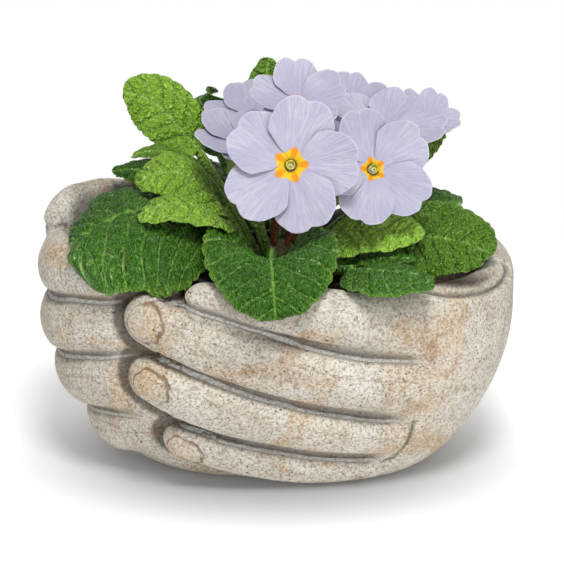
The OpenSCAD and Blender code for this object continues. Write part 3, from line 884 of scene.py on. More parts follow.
make_floor()
MIDDLE = (0, 0, 0.08)
lamp("key", (0.12, -0.95, 1.72), MIDDLE, size=0.6, watts=21.0)
lamp("fill", (0.9, -1.7, 0.5), MIDDLE, size=1.2, watts=8.5)
sky = bpy.data.worlds.new("sky")
bpy.context.scene.world = sky
sky.use_nodes = True
background = sky.node_tree.nodes["Background"].inputs
background["Color"].default_value, background["Strength"].default_value = WHITE, 0.55
print("lamps and sky ready")

# %% [markdown]
# ## Primrose leaves
# A primrose leaf is a long tongue on a fleshy stalk. Side veins run out to a scalloped edge, and the skin
# bulges up between them like a quilt. Each leaf is a grid that runs along its midrib, with the bulges worked
# out from the distance to the veins, so that veins, bulges and colour always agree.

# %% Where the leaves grow
CROWN_R, CROWN_H, BUD_GAP, SOIL_Z = 12.0, 15.0, 0.3, 86.0
# azimuth and lift: where it starts on the crown. middle and tip: shares of the bowl, and height over the rim.
# begin: the share of the midrib that is stalk. droop: of the edges. notch: how far the base reaches back.
Leaf = namedtuple("Leaf", "name azimuth lift middle tip half_w begin roll droop notch young fullness",
                  defaults=(0.0, 0.78))
# the value after notch: 0 for an old dark leaf and 1 for a fresh bright one; above 1 it is painted light
LEAVES = [Leaf(*row) for row in (
    ("leaf_left_front", 205, 3, (-0.44, -0.35, 25.5), (-0.83, -0.55, 14), 43, 0.28, 13, 0.35, 0),
    ("leaf_front", 270, 2.5, (-0.02, -0.66, 15), (0, -1.14, -5), 30, 0.5, 0, 0.1, 0.9),
    ("leaf_left_upper", 186, 7, (-0.33, -0.15, 34), (-0.58, -0.17, 33.5), 16, 0.25, 25, 0.12, 0.1, 0.95, 0.6),
    ("leaf_left_lower", 222, 8.5, (-0.31, -0.45, 29), (-0.56, -0.5, 26.5), 14, 0.27, 13, 0.2, 0.1, 0.9, 0.6),
    ("leaf_left_tall", 140, 7, (-0.4, 0.35, 47), (-0.65, 0.46, 62), 14.5, 0.38, 60, 0.1, 0.1, 0.95),
    ("leaf_left_small", 116, 12, (-0.27, 0.58, 40), (-0.27, 0.7, 60), 11, 0.38, 30, 0.1, 0.1),
    ("leaf_left_back", 163, 2.5, (-0.36, 0.34, 19), (-0.7, 0.44, 25), 12, 0.38, 20, 0.15, 0.2),
    ("leaf_left_narrow", 170, 12, (-0.36, 0.15, 35), (-0.61, 0.18, 38), 6, 0.38, 20, 0.15, 0.2, 0.5),
    ("leaf_right_upper", 332, 7, (0.3, -0.22, 12), (0.61, -0.34, 13), 18, 0.25, -20, 0.1, 0.1, 1.6),
    ("leaf_right", 347, 2.5, (0.52, -0.14, 7), (0.89, -0.36, 4.5), 22, 0.33, -38, 0.12, 0.2, 0.25),
    ("leaf_right_front", 297, 2.5, (0.38, -0.78, 8), (0.62, -0.88, 7), 17, 0.38, -5, 0.3, 0.1),
    ("leaf_right_small", 323, 2.5, (0.35, -0.37, 2), (0.57, -0.48, 5.5), 8, 0.42, -5, 0.1, 0.1),
    ("leaf_back_right", 50, 12, (0.5, 0.71, 27), (0.76, 0.82, 41), 14, 0.3, -35, 0.1, 0.1, 0.6),
    ("leaf_back_top", 90, 12, (-0.04, 0.56, 43), (-0.03, 0.76, 73), 11, 0.3, 0, 0.1, 0.1, 0.5),
    ("leaf_young", 250, 7, (-0.09, -0.36, 23), (-0.19, -0.46, 33), 8, 0.4, 30, 0.1, 0.1, 0.9),
    ("leaf_back", 85, 2.5, (0.05, 0.6, 16), (0.08, 1.08, 6), 27, 0.35, 0, 0.12, 0.3),
    ("leaf_back_left", 125, 2.5, (-0.36, 0.58, 19), (-0.58, 1, 14), 23, 0.36, 0, 0.12, 0.3),
    ("leaf_back_low", 34, 2.5, (0.45, 0.44, 11), (0.8, 0.74, 4.5), 22, 0.38, 0, 0.12, 0.3),
)]
ROWS, COLUMNS, FOLD = 120, 71, 8.0  # FOLD: how far the front leaf's stalk dips where its blade begins


def over_rim(p):
    return np.array([p[0] * HALF_W, p[1] * HALF_D, RIM + p[2]])


def blade(u):
    """How wide a blade is, as a share of its widest place, from its base (0) to its tip (1)."""
    return np.sin(np.pi * np.clip(u, 0, 1) ** 0.8).clip(0) ** 0.55


def leaf_spine(leaf):
    """Shares of the midrib and of the blade, points of the midrib, and the ways along, across and up there."""
    a = math.radians(leaf.azimuth)
    outset = CROWN_R + BUD_GAP
    start = np.array([outset * math.cos(a), outset * math.sin(a), SOIL_Z + leaf.lift])
    tip = over_rim(leaf.tip)
    bend = 2 * over_rim(leaf.middle) - (start + tip) / 2
    on_stalk = np.linspace(0, leaf.begin, ROWS // 7, endpoint=False)
    t = np.linspace(0, 1, ROWS - len(on_stalk))
    on_blade = leaf.begin + (1 - leaf.begin) * (0.62 * (1 - np.cos(np.pi * t)) / 2 + 0.38 * t)
    s = np.concatenate([on_stalk, on_blade])
    first = s[:, None]
    along = unit((1 - first) * (bend - start) + first * (tip - bend))
    along[0] = (math.cos(a), math.sin(a), 0)
    centre = (1 - first) ** 2 * start + 2 * first * (1 - first) * bend + first ** 2 * tip
    if leaf.name == "leaf_front":
        centre[:, 2] -= FOLD * bell(s - 0.47, 0.13)
    u = np.maximum((s - leaf.begin) / (1 - leaf.begin), 0)
    level = unit(np.cross(along, (0, 0, 1)))
    top = np.cross(level, along)
    turn = np.radians(leaf.roll * np.minimum(u / 0.15, 1))[:, None]
    across = level * np.cos(turn) + top * np.sin(turn)
    up = top * np.cos(turn) - level * np.sin(turn)
    return s, u, centre, along, across, up


print("places for", len(LEAVES), "leaves")

# %% Veins and bulges of a leaf
VEIN_LEAN, VEIN_BEND, MIDRIB_DIP, MIDRIB_WIDTH, HIGHEST = 0.62, 0.006, 0.8, 1.5, 1.6


def puckers(q, w, luck):
    """Domes with narrow valleys at the borders of scattered cells: 0 on a border, 1 in the middle."""
    nearest, second = np.full(q.shape, FAR), np.full(q.shape, FAR)
    table = luck.uniform(0.12, 0.88, (64, 64, 2))
    for dq in (-1, 0, 1):
        for dw in (-1, 0, 1):
            iq, iw = np.floor(q) + dq, np.floor(w) + dw
            spot = table[iq.astype(int) % 64, iw.astype(int) % 64]
            d = np.hypot(iq + spot[..., 0] - q, iw + spot[..., 1] - w)
            nearest, second = np.minimum(nearest, d), np.where(d < nearest, nearest, np.minimum(second, d))
    return ramp((second - nearest) / 0.36)


def leaf_relief(half_w, length, wide, V, on_blade, sway, luck):
    """How high the skin of a blade stands, how far it is to the next side vein (0 to 1), and its bulges."""
    side = np.sign(V)
    # side veins lean forward and bend towards the tip as they near the edge
    gap = 5.5 + 0.13 * half_w
    q = (length - VEIN_LEAN * wide - VEIN_BEND * wide ** 2) / gap + sway + 0.5 * (side > 0)
    q = q + 0.05 * np.sin(wide * 0.4 + side + sway * 6)
    vein = np.abs(np.sin(np.pi * q))
    size = 2.5 + 0.035 * half_w
    quilt = puckers(q * gap / size + 20 * (side > 0), wide / size + 0.3, luck)
    quilt = quilt * (0.45 + 0.55 * ramp(vein / 0.35))
    inner = (1 - np.abs(V) ** 7) * on_blade
    pucker = (quilt - 0.4) * inner
    height = min(HIGHEST, 0.5 + 0.035 * half_w) * (0.75 * pucker + 0.9 * (ramp(vein / 0.9) - 0.6) * inner)
    return height - MIDRIB_DIP * bell(wide, MIDRIB_WIDTH) * on_blade, vein, pucker


# %% The form of a leaf's edge
SCALLOP, WAVE, RIPPLE = 4.4, 17.0, 8.3  # lengths along the edge
SCALLOP_DEPTH, SCALLOP_FLAT, MARGIN, LOBE_RISE = 0.055, 0.7, 0.72, 14.0
HANG_DOWN, HANG_IN = 7.0, 2.5


def leaf_form(leaf, relief, length, H, U, V, on_blade, sway):
    """How far each point of a leaf lies across from its midrib, above it and ahead along it."""
    half_w, side = leaf.half_w, np.sign(V)
    # scalloped edge that also waves up and down
    uneven = side * 0.7 + 0.5 * np.sin(length * 0.31 + sway * 9)
    scallops = np.abs(np.sin(length * np.pi / SCALLOP + uneven)) ** 0.6 - SCALLOP_FLAT
    wave = np.sin(length * 2 * np.pi / (WAVE + 0.12 * half_w) + side * 1.4 + sway * 11)
    wave = wave + 0.5 * np.sin(length * 2 * np.pi / RIPPLE + side)
    reach = H * V * (1 + on_blade * ramp((np.abs(V) - MARGIN) / (1 - MARGIN)) * SCALLOP_DEPTH * scallops)
    rise = relief - leaf.droop * V * V * H + on_blade * np.abs(V) ** 3 * wave * (0.35 + 0.022 * half_w)
    if leaf.name == "leaf_front":
        # the two lobes at its base stand up
        rise = rise + LOBE_RISE * (U > 0) * ramp(U / 0.04) * V * V * np.maximum(1 - U, 0) ** 2.2
    if leaf.name == "leaf_left_front":
        # its outer edge hangs over the rim of the bowl
        hang = on_blade * ramp((-V - 0.45) / 0.5) * ramp((U - 0.2) / 0.55)
        rise, reach = rise - HANG_DOWN * hang, reach - HANG_IN * hang
    back = (U > 0) * leaf.notch * half_w * np.abs(V) ** 1.5 * np.maximum(1 - U, 0) ** 1.5
    return reach, rise, on_blade * ramp((U - 0.75) / 0.25) * 0.9 * scallops - back


# %% Shape one leaf
STALK_HALF, TIP_HALF, BLADE_T, MIDRIB_T, STALK_T, VEIN_WIDTH = 2.4, 0.35, 0.55, 0.9, 2.6, 0.12
CORNER = np.array([-3.5, -7.0, -4.0])  # where the outer corner of leaf_left_front goes
UV_SIZE = 50.0


def leaf_object(leaf, seed):
    luck = np.random.default_rng(seed)
    half_w = leaf.half_w
    s, u, centre, along, across, up = leaf_spine(leaf)
    half = np.maximum(np.where(u < 0.5, STALK_HALF, TIP_HALF), half_w * blade(u) ** leaf.fullness)
    U, V = np.meshgrid(u, edge_to_edge(COLUMNS, 0.97), indexing="ij")
    H = half[:, None]
    length = lengths(centre)
    length = (length - np.interp(leaf.begin, s, length))[:, None] + 0 * V
    wide = np.abs(V) * H
    on_blade = ramp(U / 0.1)
    sway = luck.uniform(0, 1)
    relief, vein, pucker = leaf_relief(half_w, length, wide, V, on_blade, sway, luck)
    reach, rise, ahead = leaf_form(leaf, relief, length, H, U, V, on_blade, sway)
    face = centre[:, None] + across[:, None] * reach[..., None]
    face = face + up[:, None] * rise[..., None] + along[:, None] * ahead[..., None]
    if leaf.name == "leaf_left_front":
        corner = bell(U - 0.97, 0.13) * ramp((-V - 0.05) / 0.6)
        face = face + corner[..., None] * CORNER
    # thickness: a fleshy stalk and midrib, a thin blade
    normal = unit(np.cross(np.gradient(face, axis=0), np.gradient(face, axis=1)))
    if (normal * up[:, None]).sum(-1).mean() < 0:
        normal = -normal
    round_stalk = np.sqrt(np.maximum(1 - (V * 0.98) ** 2, 0.02))
    fleshy = STALK_T * (1 - ramp(U / 0.3)) + MIDRIB_T * (1 - ramp(U / 0.9))
    thick = BLADE_T + fleshy * np.where(U > 0, bell(wide, 2.0), round_stalk)
    above = face + normal * (thick * np.where(U > 0, 0.15, 0.5))[..., None]
    made = sheet(leaf.name + "_veined", above, above - normal * thick[..., None])
    veins = np.maximum(0.85 * bell(vein, VEIN_WIDTH + 0.002 * half_w), 0.9 * bell(wide, 0.7))
    veins = veins * np.where(U > 0, 1, 0.9)
    # painted light and shade: lighter on the bulges, darker in their valleys and along the side veins
    light = np.clip(0.55 * (pucker + 0.4) + 0.45 * ramp(vein / 0.7), 0, 1)
    # each leaf has its own part of the pattern, so that no two look alike
    add_uv(made, np.stack([both_faces(length) / UV_SIZE + seed * 0.37,
                           both_faces(wide * np.sign(V)) / UV_SIZE + 0.5], 1))
    add_values(made, vein=both_faces(veins), pucker=both_faces(light), edge=both_faces(np.abs(V)),
               underside=np.repeat([0, 1], V.size), young=np.full(2 * V.size, leaf.young))
    return made


leaf_objects = [leaf_object(leaf, i + 1) for i, leaf in enumerate(LEAVES)]
print("leaves:", len(leaf_objects), "quads each:", len(leaf_objects[0].data.polygons))

# %% [markdown]
# ## Leaf finish
# Old leaves are a dark glossy green and fresh ones a bright yellow green. Veins are paler, and a fine net
# of small cells lies between them. Painted light and shade make the bulges lighter and their valleys darker.
# All of it follows the leaf through its UV map and its values.

# %% The leaf's node group and material
def leaf_group():
    g = group("leaf skin", dict(Vein=0.0, Pucker=0.5, Edge=0.0, Young=0.0, Underside=0.0))
    where, young = g.where("UV"), g.take["Young"]
    cells, fine = (g.cells(where, scale, "DISTANCE_TO_EDGE") for scale in (19.0, 50.0))
    cloud = g.noise(where, 2.2, 3.0, 0.6)
    fleck = g.noise(where, 40.0, 3.0, 0.7)
    net = g.larger(g.times(g.band(cells, 0.07, 0.0), 0.5), g.times(g.band(fine, 0.08, 0.0), 0.34))
    net = g.times(g.times(net, g.band(young, 0.0, 1.0, 1.0, 0.3)), g.band(cloud, 0.3, 0.62, 0.35, 1.0))
    # painted light and shade: the bulges and small cells lighter on top and darker at their borders
    high = g.band(g.take["Pucker"], 0.1, 0.75, 0.32, 1.0)
    dome = g.plus(g.times(g.band(cells, 0.0, 0.35), 0.7), g.times(g.band(fine, 0.0, 0.3), 0.3))
    light = g.times(high, g.band(dome, 0.05, 0.75, 0.6, 1.0))
    light = g.band(g.plus(g.times(light, 0.7), g.times(cloud, 0.3)), 0.1, 0.95)
    old = g.mix(light, tone(1, 17, 0), tone(52, 110, 4))
    fresh = g.mix(light, tone(58, 118, 10), tone(166, 212, 66))
    body = g.mix(young, old, fresh)
    body = g.over(body, g.band(fleck, 0.5, 0.72), 0.1, tone(132, 174, 48))
    body = g.over(body, g.band(g.take["Edge"], 0.88, 1.0), 0.35, tone(128, 170, 48))
    body = g.mix(net, body, g.mix(young, tone(128, 182, 66), tone(186, 220, 110)))
    vein = g.mix(young, tone(140, 192, 84), tone(186, 220, 110))
    body = g.over(body, g.band(g.take["Vein"], 0.1, 0.8), 0.78, vein)
    # painted light: a value above 1 lightens a leaf further, where the flowers shade it
    body = g.over(body, g.minus(young, 1.0), 0.8, tone(186, 240, 92))  # for the brightest leaf, above 1
    body = g.over(body, g.take["Underside"], 0.45, tone(120, 156, 90))
    return g.end_with(Color=body, Roughness=g.band(fleck, 0.3, 0.7, 0.2, 0.34),
                      Height=g.minus(dome, g.times(g.take["Vein"], 0.4)))


LEAF_READS = dict(Vein="vein", Pucker="pucker", Edge="edge", Young="young", Underside="underside")
leaf_skin = group_material("leaf", leaf_group(), 1.0, 0.0016, LEAF_READS, Specular_IOR_Level=0.5)
record_slots = {part["node"]: part["material_slot"] for part in frame["record"]["subparts"]}
for leaf, made in zip(LEAVES, leaf_objects):
    finish_piece(made, "plant", leaf_skin, record_slots[leaf.name], leaf.name)
print("leaf finish on", len(LEAVES), "leaves")

# %% [markdown]
# ## Flowers
# Each flower has five notched petals that overlap like a pinwheel. One petal is a thin closed sheet, and a
# Geometry Nodes tree places five of it around the throat, each leaning and sized a little differently.

# %% Where the flowers stand
# centre: x, y and height over the rim. faces: direction around and up, in degrees.
# stalk_way and stalk_off: the direction and the distance of the stalk's foot from the crown's middle.
Flower = namedtuple("Flower", "centre faces diameter spin cup stalk_way stalk_off")
FLOWERS = [Flower(*row) for row in (
    ((6.5, -38, 49), (-93, 24), 64, 2, 4, 265, 8),
    ((44, -24, 43), (-72, 30), 58, 28, 6, 310, 8),
    ((10, -7.5, 70), (-85, 55), 45, 90, 5, 200, 1.5),
    ((-10.5, 22, 55), (-105, 67), 48, 44, 5, 150, 8),
    ((-16, -11, 52), (-58, 69), 46, 33, 5, 215, 8),
    ((35, 37, 55), (-80, 57), 40, 82, 5, 100, 8),
    ((50, 14, 52), (-80, 73), 58, 56, 5, 0, 8),
    ((71, 38, 50), (-50, 60), 33, 37, 5, 50, 8),
)]
PETAL_T, TUBE_R, TUBE_L, STALK_R = 0.9, 2.2, 20.0, 1.3


def flower_frame(flower):
    """Centre, and the directions right, up and out of a flower."""
    a, e = (math.radians(angle) for angle in flower.faces)
    out = np.array([math.cos(e) * math.cos(a), math.cos(e) * math.sin(a), math.sin(e)])
    right = unit(np.cross((0, 0, 1), out))
    return np.add(flower.centre, (0, 0, RIM)), right, np.cross(out, right), out


print("places for", len(FLOWERS), "flowers")

# %% Shape one petal
HALF_THICK, SPREAD = 0.17, math.radians(50)
OFF_CENTRE, ROUND = 0.55, 0.475  # the circle that makes the outline, as shares of the petal's length
PINWHEEL, FURROW, ROLLED, THROAT_DIP = 0.115, 0.02, 0.03, 1.6


def petal_object(name, radius, cup, seed):
    sway = np.random.default_rng(seed).uniform(0, 6)
    S, Q = np.meshgrid(edge_to_edge(33, 0.9), np.linspace(0, 1, 26) ** 0.8)
    mouth = TUBE_R + 0.3
    turn = S * SPREAD
    # the outline is a circle off the centre, with a shallow notch at the middle
    circle = OFF_CENTRE * np.cos(turn) + np.sqrt(ROUND ** 2 - (OFF_CENTRE * np.sin(turn)) ** 2)
    notch = 0.055 * bell(turn, 0.07) + 0.025 * bell(turn, 0.22)
    ripple = 0.008 * np.sin(S * 9 + sway) + 0.006 * np.sin(S * 21 + 2 * sway)
    r = mouth + (radius * (circle - notch + ripple) - mouth) * Q
    angle = turn * (0.66 + 0.34 * ramp(Q / 0.4))
    # heights follow the distance from the centre, so that the under edge of a petal stays under its neighbour
    out = (r - mouth) / (radius - mouth)
    ruffle = 0.014 * np.sin(S * 7 + sway) * out ** 4 + 0.009 * np.sin(S * 15 + sway * 2) * out ** 8
    z = cup * out ** 2 - THROAT_DIP * np.exp(-(r - mouth) / 2.2)
    z = z + (PINWHEEL * np.sin(angle) * r - FURROW * radius * bell(S, 0.2)) * ramp(out / 0.35)
    z = z + radius * (ruffle - ROLLED * np.abs(S) ** 2.5 * ramp((out - 0.3) / 0.7))
    middle = np.stack([r * np.cos(angle), r * np.sin(angle), z], -1)
    normal = unit(np.cross(np.gradient(middle, axis=0), np.gradient(middle, axis=1)))
    if normal[..., 2].mean() < 0:
        normal = -normal
    petal = sheet(name, middle + normal * HALF_THICK, middle - normal * HALF_THICK)
    add_uv(petal, np.stack([both_faces(S) * 0.5 + 0.5, both_faces(Q)], 1))
    add_values(petal, from_centre=both_faces(r), side=both_faces(np.degrees(angle) / 36), tip=both_faces(Q))
    return petal


# %% Helpers for Geometry Nodes
def scatter(g, points, shape, turn, size):
    """Ends a tree: a shape on every point, made real and given the finish that the tree asks for."""
    spread = g.add("GeometryNodeInstanceOnPoints", Points=points, Instance=shape, Rotation=turn, Scale=size)
    whole = g.add("GeometryNodeRealizeInstances", Geometry=spread.outputs[0])
    dressed = g.add("GeometryNodeSetMaterial", Geometry=whole.outputs[0], Material=g.take["Finish"])
    g.put(g.end.inputs[0], dressed.outputs[0])
    return g.tree


def grown(thing, tree, name, **inputs):
    """The plain mesh that a Geometry Nodes tree makes of an object; the object itself goes."""
    keys = {item.name: item.identifier for item in tree.interface.items_tree if item.in_out == "INPUT"}
    modifier = thing.modifiers.new("nodes", "NODES")
    modifier.node_group = tree
    for label, value in inputs.items():
        modifier[keys[label.replace("_", " ")]] = value
    bpy.context.view_layer.update()
    mesh = bpy.data.meshes.new_from_object(thing.evaluated_get(bpy.context.evaluated_depsgraph_get()))
    mesh.name = name
    bpy.data.objects.remove(thing)
    return link(name, mesh)


def place_mesh(thing, centre, right, up, out, spin=0.0):
    """Moves a mesh, drawn around the origin, to its place."""
    c, s = math.cos(math.radians(spin)), math.sin(math.radians(spin))
    turn = mathutils.Matrix((right * c + up * s, up * c - right * s, out)).transposed().to_4x4()
    thing.data.transform(mathutils.Matrix.Translation(centre * MM) @ turn)


# %% The tree that places petals
def petal_ring_tree():
    g = group("petal ring", {"Petal": "Geometry", "Petals": 5, "Lean": 0.05, "Size change": 0.05, "Seed": 1,
                             "Finish": "Material"}, dict(Flower="Geometry"), "GeometryNodeTree")
    index = g.add("GeometryNodeInputIndex").outputs[0]

    def lucky(low, high, offset):
        seed = g.plus(g.take["Seed"], offset)
        node = g.add("FunctionNodeRandomValue", dict(data_type="FLOAT"), i2=low, i3=high, ID=index, Seed=seed)
        return node.outputs[1]

    def rotation(x, y, z):
        return g.add("FunctionNodeEulerToRotation", i0=g.vector(x, y, z)).outputs[0]

    most = g.take["Lean"]
    least = g.times(most, -1.0)
    tilt, twist = lucky(least, most, 0.0), lucky(least, most, 7.0)
    spin = rotation(0.0, 0.0, g.times(index, g.math("DIVIDE", math.tau, g.take["Petals"])))
    lean = rotation(twist, tilt, 0.0)
    both = g.add("FunctionNodeRotateRotation", dict(rotation_space="LOCAL"), i0=spin, i1=lean)
    size = lucky(g.minus(1.0, g.take["Size change"]), 1.0, 13.0)
    spots = g.add("GeometryNodeMeshLine", Count=g.take["Petals"], Offset=(0, 0, 0)).outputs[0]
    return scatter(g, spots, g.take["Petal"], both.outputs[0], size)


PETAL_RING = petal_ring_tree()
print("petal ring inputs:", [item.name for item in PETAL_RING.interface.items_tree if item.in_out == "INPUT"])

# %% [markdown]
# ## Petal finish
# The petals are a pale blue lilac with fine darker veins that fan out, a whitish rim and a golden star with
# orange flashes at the throat. The star's points lie on the middle of each petal.

# %% The petal's node group
def petal_group():
    g = group("petal skin", {"Distance": 0.0, "Side": 0.0, "Tip": 0.0, "Star size": 8.0})
    distance, side = g.take["Distance"], g.take["Side"]
    fan = g.vector(g.times(side, 9.0), g.times(distance, 0.035), 0.0)
    fine = g.vector(g.times(side, 24.0), g.times(distance, 0.09), 3.0)
    veins = g.noise(fan, 1.6, 2.0, 0.5, 0.5)
    hairs = g.noise(fine, 1.4, 3.0, 0.6, 0.6)
    cloud = g.noise(g.where(), 45.0, 2.0, 0.5)
    body = g.mix(g.band(cloud, 0.35, 0.65), tone(178, 176, 193), tone(190, 188, 202))
    body = g.over(body, g.band(veins, 0.48, 0.66), 0.5, tone(160, 157, 188))
    body = g.over(body, g.band(hairs, 0.5, 0.6), 0.6, tone(152, 148, 178))
    body = g.over(body, g.band(distance, 15.0, 6.0), 0.35, tone(168, 162, 196))
    body = g.over(body, g.band(g.take["Tip"], 0.96, 1.0), 0.3, tone(226, 224, 234))
    # the star: its edge swings out at the middle of each petal
    point = g.power(g.larger(g.minus(1.0, g.math("ABSOLUTE", side)), 0.0), 1.3)
    fray = g.times(g.minus(g.noise(fine, 1.0, 2.0, 0.6), 0.5), 0.3)
    edge = g.times(g.take["Star size"], g.plus(g.plus(0.74, fray), g.times(point, 0.28)))
    share = g.math("DIVIDE", distance, edge)
    orange = g.times(g.band(share, 0.3, 0.62), g.band(g.plus(point, fray), 0.3, 0.75))
    gold = g.over(tone(236, 192, 32), orange, 0.85, tone(226, 136, 14))
    gold = g.mix(g.band(distance, 3.4, 2.6), gold, tone(120, 122, 30))
    return g.end_with(Color=g.mix(g.band(share, 1.04, 0.94), body, gold),
                      Roughness=g.band(cloud, 0.3, 0.7, 0.6, 0.75),
                      Height=g.plus(g.times(veins, 0.9), g.times(hairs, 0.5)))


# %% Make the flowers
PETAL = petal_group()
PETAL_READS = dict(Distance="from_centre", Side="side", Tip="tip")
finishes = [
    group_material(f"petal of the {which}", PETAL, 0.35, 0.0006, PETAL_READS, {"Star_size": star},
                   Specular_IOR_Level=0.3, Subsurface_Weight=0.12, Subsurface_Radius=(1.0, 0.8, 1.0),
                   Subsurface_Scale=0.002)
    for which, star in (("front flower", 8.6), ("right flower", 6.4), ("other flowers", 5.0))]
for i, flower in enumerate(FLOWERS):
    finish = finishes[min(i, 2)]
    petal = petal_object("petal", flower.diameter / 2, flower.cup, 40 + i)
    petals = grown(petal, PETAL_RING, f"petals_{i + 1}_notched",
                   Petals=5, Lean=0.03, Size_change=0.05, Seed=11 * i + 3, Finish=finish)
    place_mesh(petals, *flower_frame(flower), spin=flower.spin)
    finish_piece(petals, "plant", finish, "petal", f"petals_{i + 1}")
print("flowers:", len(FLOWERS), "quads in one:", len(petals.data.polygons))

# %% [markdown]
# ## Throats
# In the middle of each flower the tube opens in a small green and yellow ring, with the knob of the style in
# it. It is one turned shape, which a second tree sets into every flower.

# %% Throats by Geometry Nodes
# pairs of radius and height, from the axis round the outside and back to the axis
THROAT = [(0, -3.2), (0.5, -3.2), (2.05, -3.0), (2.1, -0.6), (2.5, 0.55), (2.3, 0.95), (1.95, 0.95),
          (1.65, 0.4), (1.35, -1.2), (0.9, -1.6), (0.28, -1.4), (0.26, 0.1), (0.62, 0.35), (0.72, 0.75),
          (0.45, 1.1), (0, 1.15)]
THROAT_LIFT, THROAT_SIDES = 0.35, 28


def circle_rings(radii, heights):
    """Rings around the z axis; each row of radii is one ring."""
    t = np.arange(radii.shape[1]) * 2 * np.pi / radii.shape[1]
    return np.stack([radii * np.cos(t), radii * np.sin(t), heights[:, None] + 0 * radii], -1)


def throat_tree():
    g = group("throats", dict(Spots="Geometry", Throat="Object", Size=1.0, Finish="Material"),
              dict(Throats="Geometry"), "GeometryNodeTree")
    faces = g.add("GeometryNodeInputNamedAttribute", dict(data_type="FLOAT_VECTOR"), i0="faces").outputs[0]
    turn = g.add("FunctionNodeAlignRotationToVector", dict(axis="Z"), Vector=faces).outputs[0]
    shape = g.add("GeometryNodeObjectInfo", i0=g.take["Throat"]).outputs["Geometry"]
    return scatter(g, g.take["Spots"], shape, turn, g.take["Size"])


radii, heights = np.array(THROAT).T
throat = ring_stack("throat", circle_rings(np.tile(radii[1:-1, None], THROAT_SIDES), heights[1:-1]),
                    (0, 0, heights[0]), (0, 0, heights[-1]))
centres, outs = (np.array(column) for column in zip(*(flower_frame(flower)[::3] for flower in FLOWERS)))
spots = new_object("spots", centres + outs * THROAT_LIFT, [])
spots.data.attributes.new("faces", "FLOAT_VECTOR", "POINT").data.foreach_set("vector", outs.ravel())

golden = material("throat", Specular_IOR_Level=0.4, Roughness=0.5)
shade = golden.band(golden.noise(golden.where(), 900.0, 2.0), 0.4, 0.6)
golden.put(golden.shader.inputs["Base Color"], golden.mix(shade, tone(150, 156, 40), tone(214, 196, 60)))
throats = grown(spots, throat_tree(), "flower_throats", Throat=throat, Size=0.85, Finish=golden.material)
bpy.data.objects.remove(throat)
finish_piece(throats, "plant", golden.material, "flower_eye", "flower_eyes")
print("throats:", len(throats.data.polygons), "faces")

# %% [markdown]
# ## Stalks
# Every flower has its own downy stalk, reddish near the crown. It swells into a green calyx with five ribs
# and pointed teeth around the tube. The stalk follows the same curve as its solid.

# %% Shape the stalks
# the calyx and the tube: height, radius and depth of the ribs
CALYX = np.array([
    (1, 1.7, 0.02), (2, 2.7, 0.06), (3.5, 3.3, 0.12), (5.5, 3.6, 0.16), (8, 3.6, 0.17), (10, 3.5, 0.2),
    (11.5, 3.7, 0.24), (12.6, 4.0, 0.26), (13.2, 3.6, 0.1), (13.4, 2.5, 0), (14.5, 2.0, 0), (17, 1.95, 0),
    (19, 2.05, 0), (TUBE_L + 0.6, 2.15, 0)])
STALK_ROWS, STALK_SIDES, TEETH = 30, 20, slice(36, 39)


def stalk_object(name, flower):
    centre, _, _, out = flower_frame(flower)
    end = centre - out * (TUBE_L + PETAL_T)
    a = math.radians(flower.stalk_way)
    foot = (flower.stalk_off * math.cos(a), flower.stalk_off * math.sin(a), SOIL_Z + CROWN_H + BUD_GAP)
    start = np.array(foot)
    rise = start + np.array([0, 0, 0.35 * (end[2] - start[2])])
    meet = end - out * 12
    s = np.linspace(0, 1, STALK_ROWS)[:, None]
    path = (1 - s) ** 3 * start + 3 * s * (1 - s) ** 2 * rise + 3 * s * s * (1 - s) * meet + s ** 3 * end
    path = np.vstack([path, end + out * CALYX[:, :1]])
    size = np.concatenate([np.full(STALK_ROWS, STALK_R), CALYX[:, 1]])[:, None]
    rib = np.concatenate([np.zeros(STALK_ROWS), CALYX[:, 2]])[:, None]
    ahead = unit(np.gradient(path, axis=0))
    ahead[0] = (0, 0, 1)
    ahead[STALK_ROWS:] = out
    x = unit(np.cross((1, 0, 0), ahead))
    y = np.cross(ahead, x)
    t = np.arange(STALK_SIDES) * 2 * np.pi / STALK_SIDES
    five = np.abs(np.cos(2.5 * t))
    r = (size * (1 + rib * (five ** 1.5 - 0.5)))[..., None]
    tooth = np.zeros_like(r)
    tooth[TEETH] = 1.3 * five[:, None] ** 3
    c, s = np.cos(t)[None, :, None], np.sin(t)[None, :, None]
    rings = path[:, None] + r * (x[:, None] * c + y[:, None] * s) + out * tooth
    stalk = ring_stack(name, rings, path[0], path[-1])
    share = np.concatenate([np.linspace(0, 0.6, STALK_ROWS), np.linspace(0.62, 1, len(CALYX))])
    add_values(stalk, up_stalk=[*np.repeat(share, STALK_SIDES), 0, 1])
    return stalk


stem = material("flower stalk", Specular_IOR_Level=0.35, Roughness=0.6)
height = stem.value("up_stalk")
fleck = stem.noise(stem.where(), 700.0, 3.0, 0.7)
downy = stem.band(fleck, 0.4, 0.65)
green = stem.mix(downy, tone(118, 140, 66), tone(160, 174, 96))
red = stem.mix(downy, tone(98, 46, 30), tone(140, 84, 52))
body = stem.mix(stem.band(height, 0.1, 0.5), red, green)
body = stem.mix(stem.band(height, 0.86, 0.9), body, tone(206, 204, 190))
stem.finish(body, fleck, 0.5, 0.0004)
for i, flower in enumerate(FLOWERS):
    stalk = stalk_object(f"stalk_{i + 1}_ribbed", flower)
    finish_piece(stalk, "plant", stem.material, "stalk", f"stalk_{i + 1}")
print("stalks:", len(FLOWERS))

# %% [markdown]
# ## Crown, soil and grow pot
# The crown is a knot of leaf bases. Crumbs of soil and a few white grains lie on the soil's surface, placed
# by Geometry Nodes at random points with a fixed seed. The pot keeps its solid and gets a moulded finish.

# %% Crown
CROWN = np.array([(0, 11.2), (0.5, 11.9), (3, 11.8), (6, 11.4), (9, 10.8), (12, 9.6), (14, 7.0), (14.8, 3.0)])
CROWN_SIDES = 72


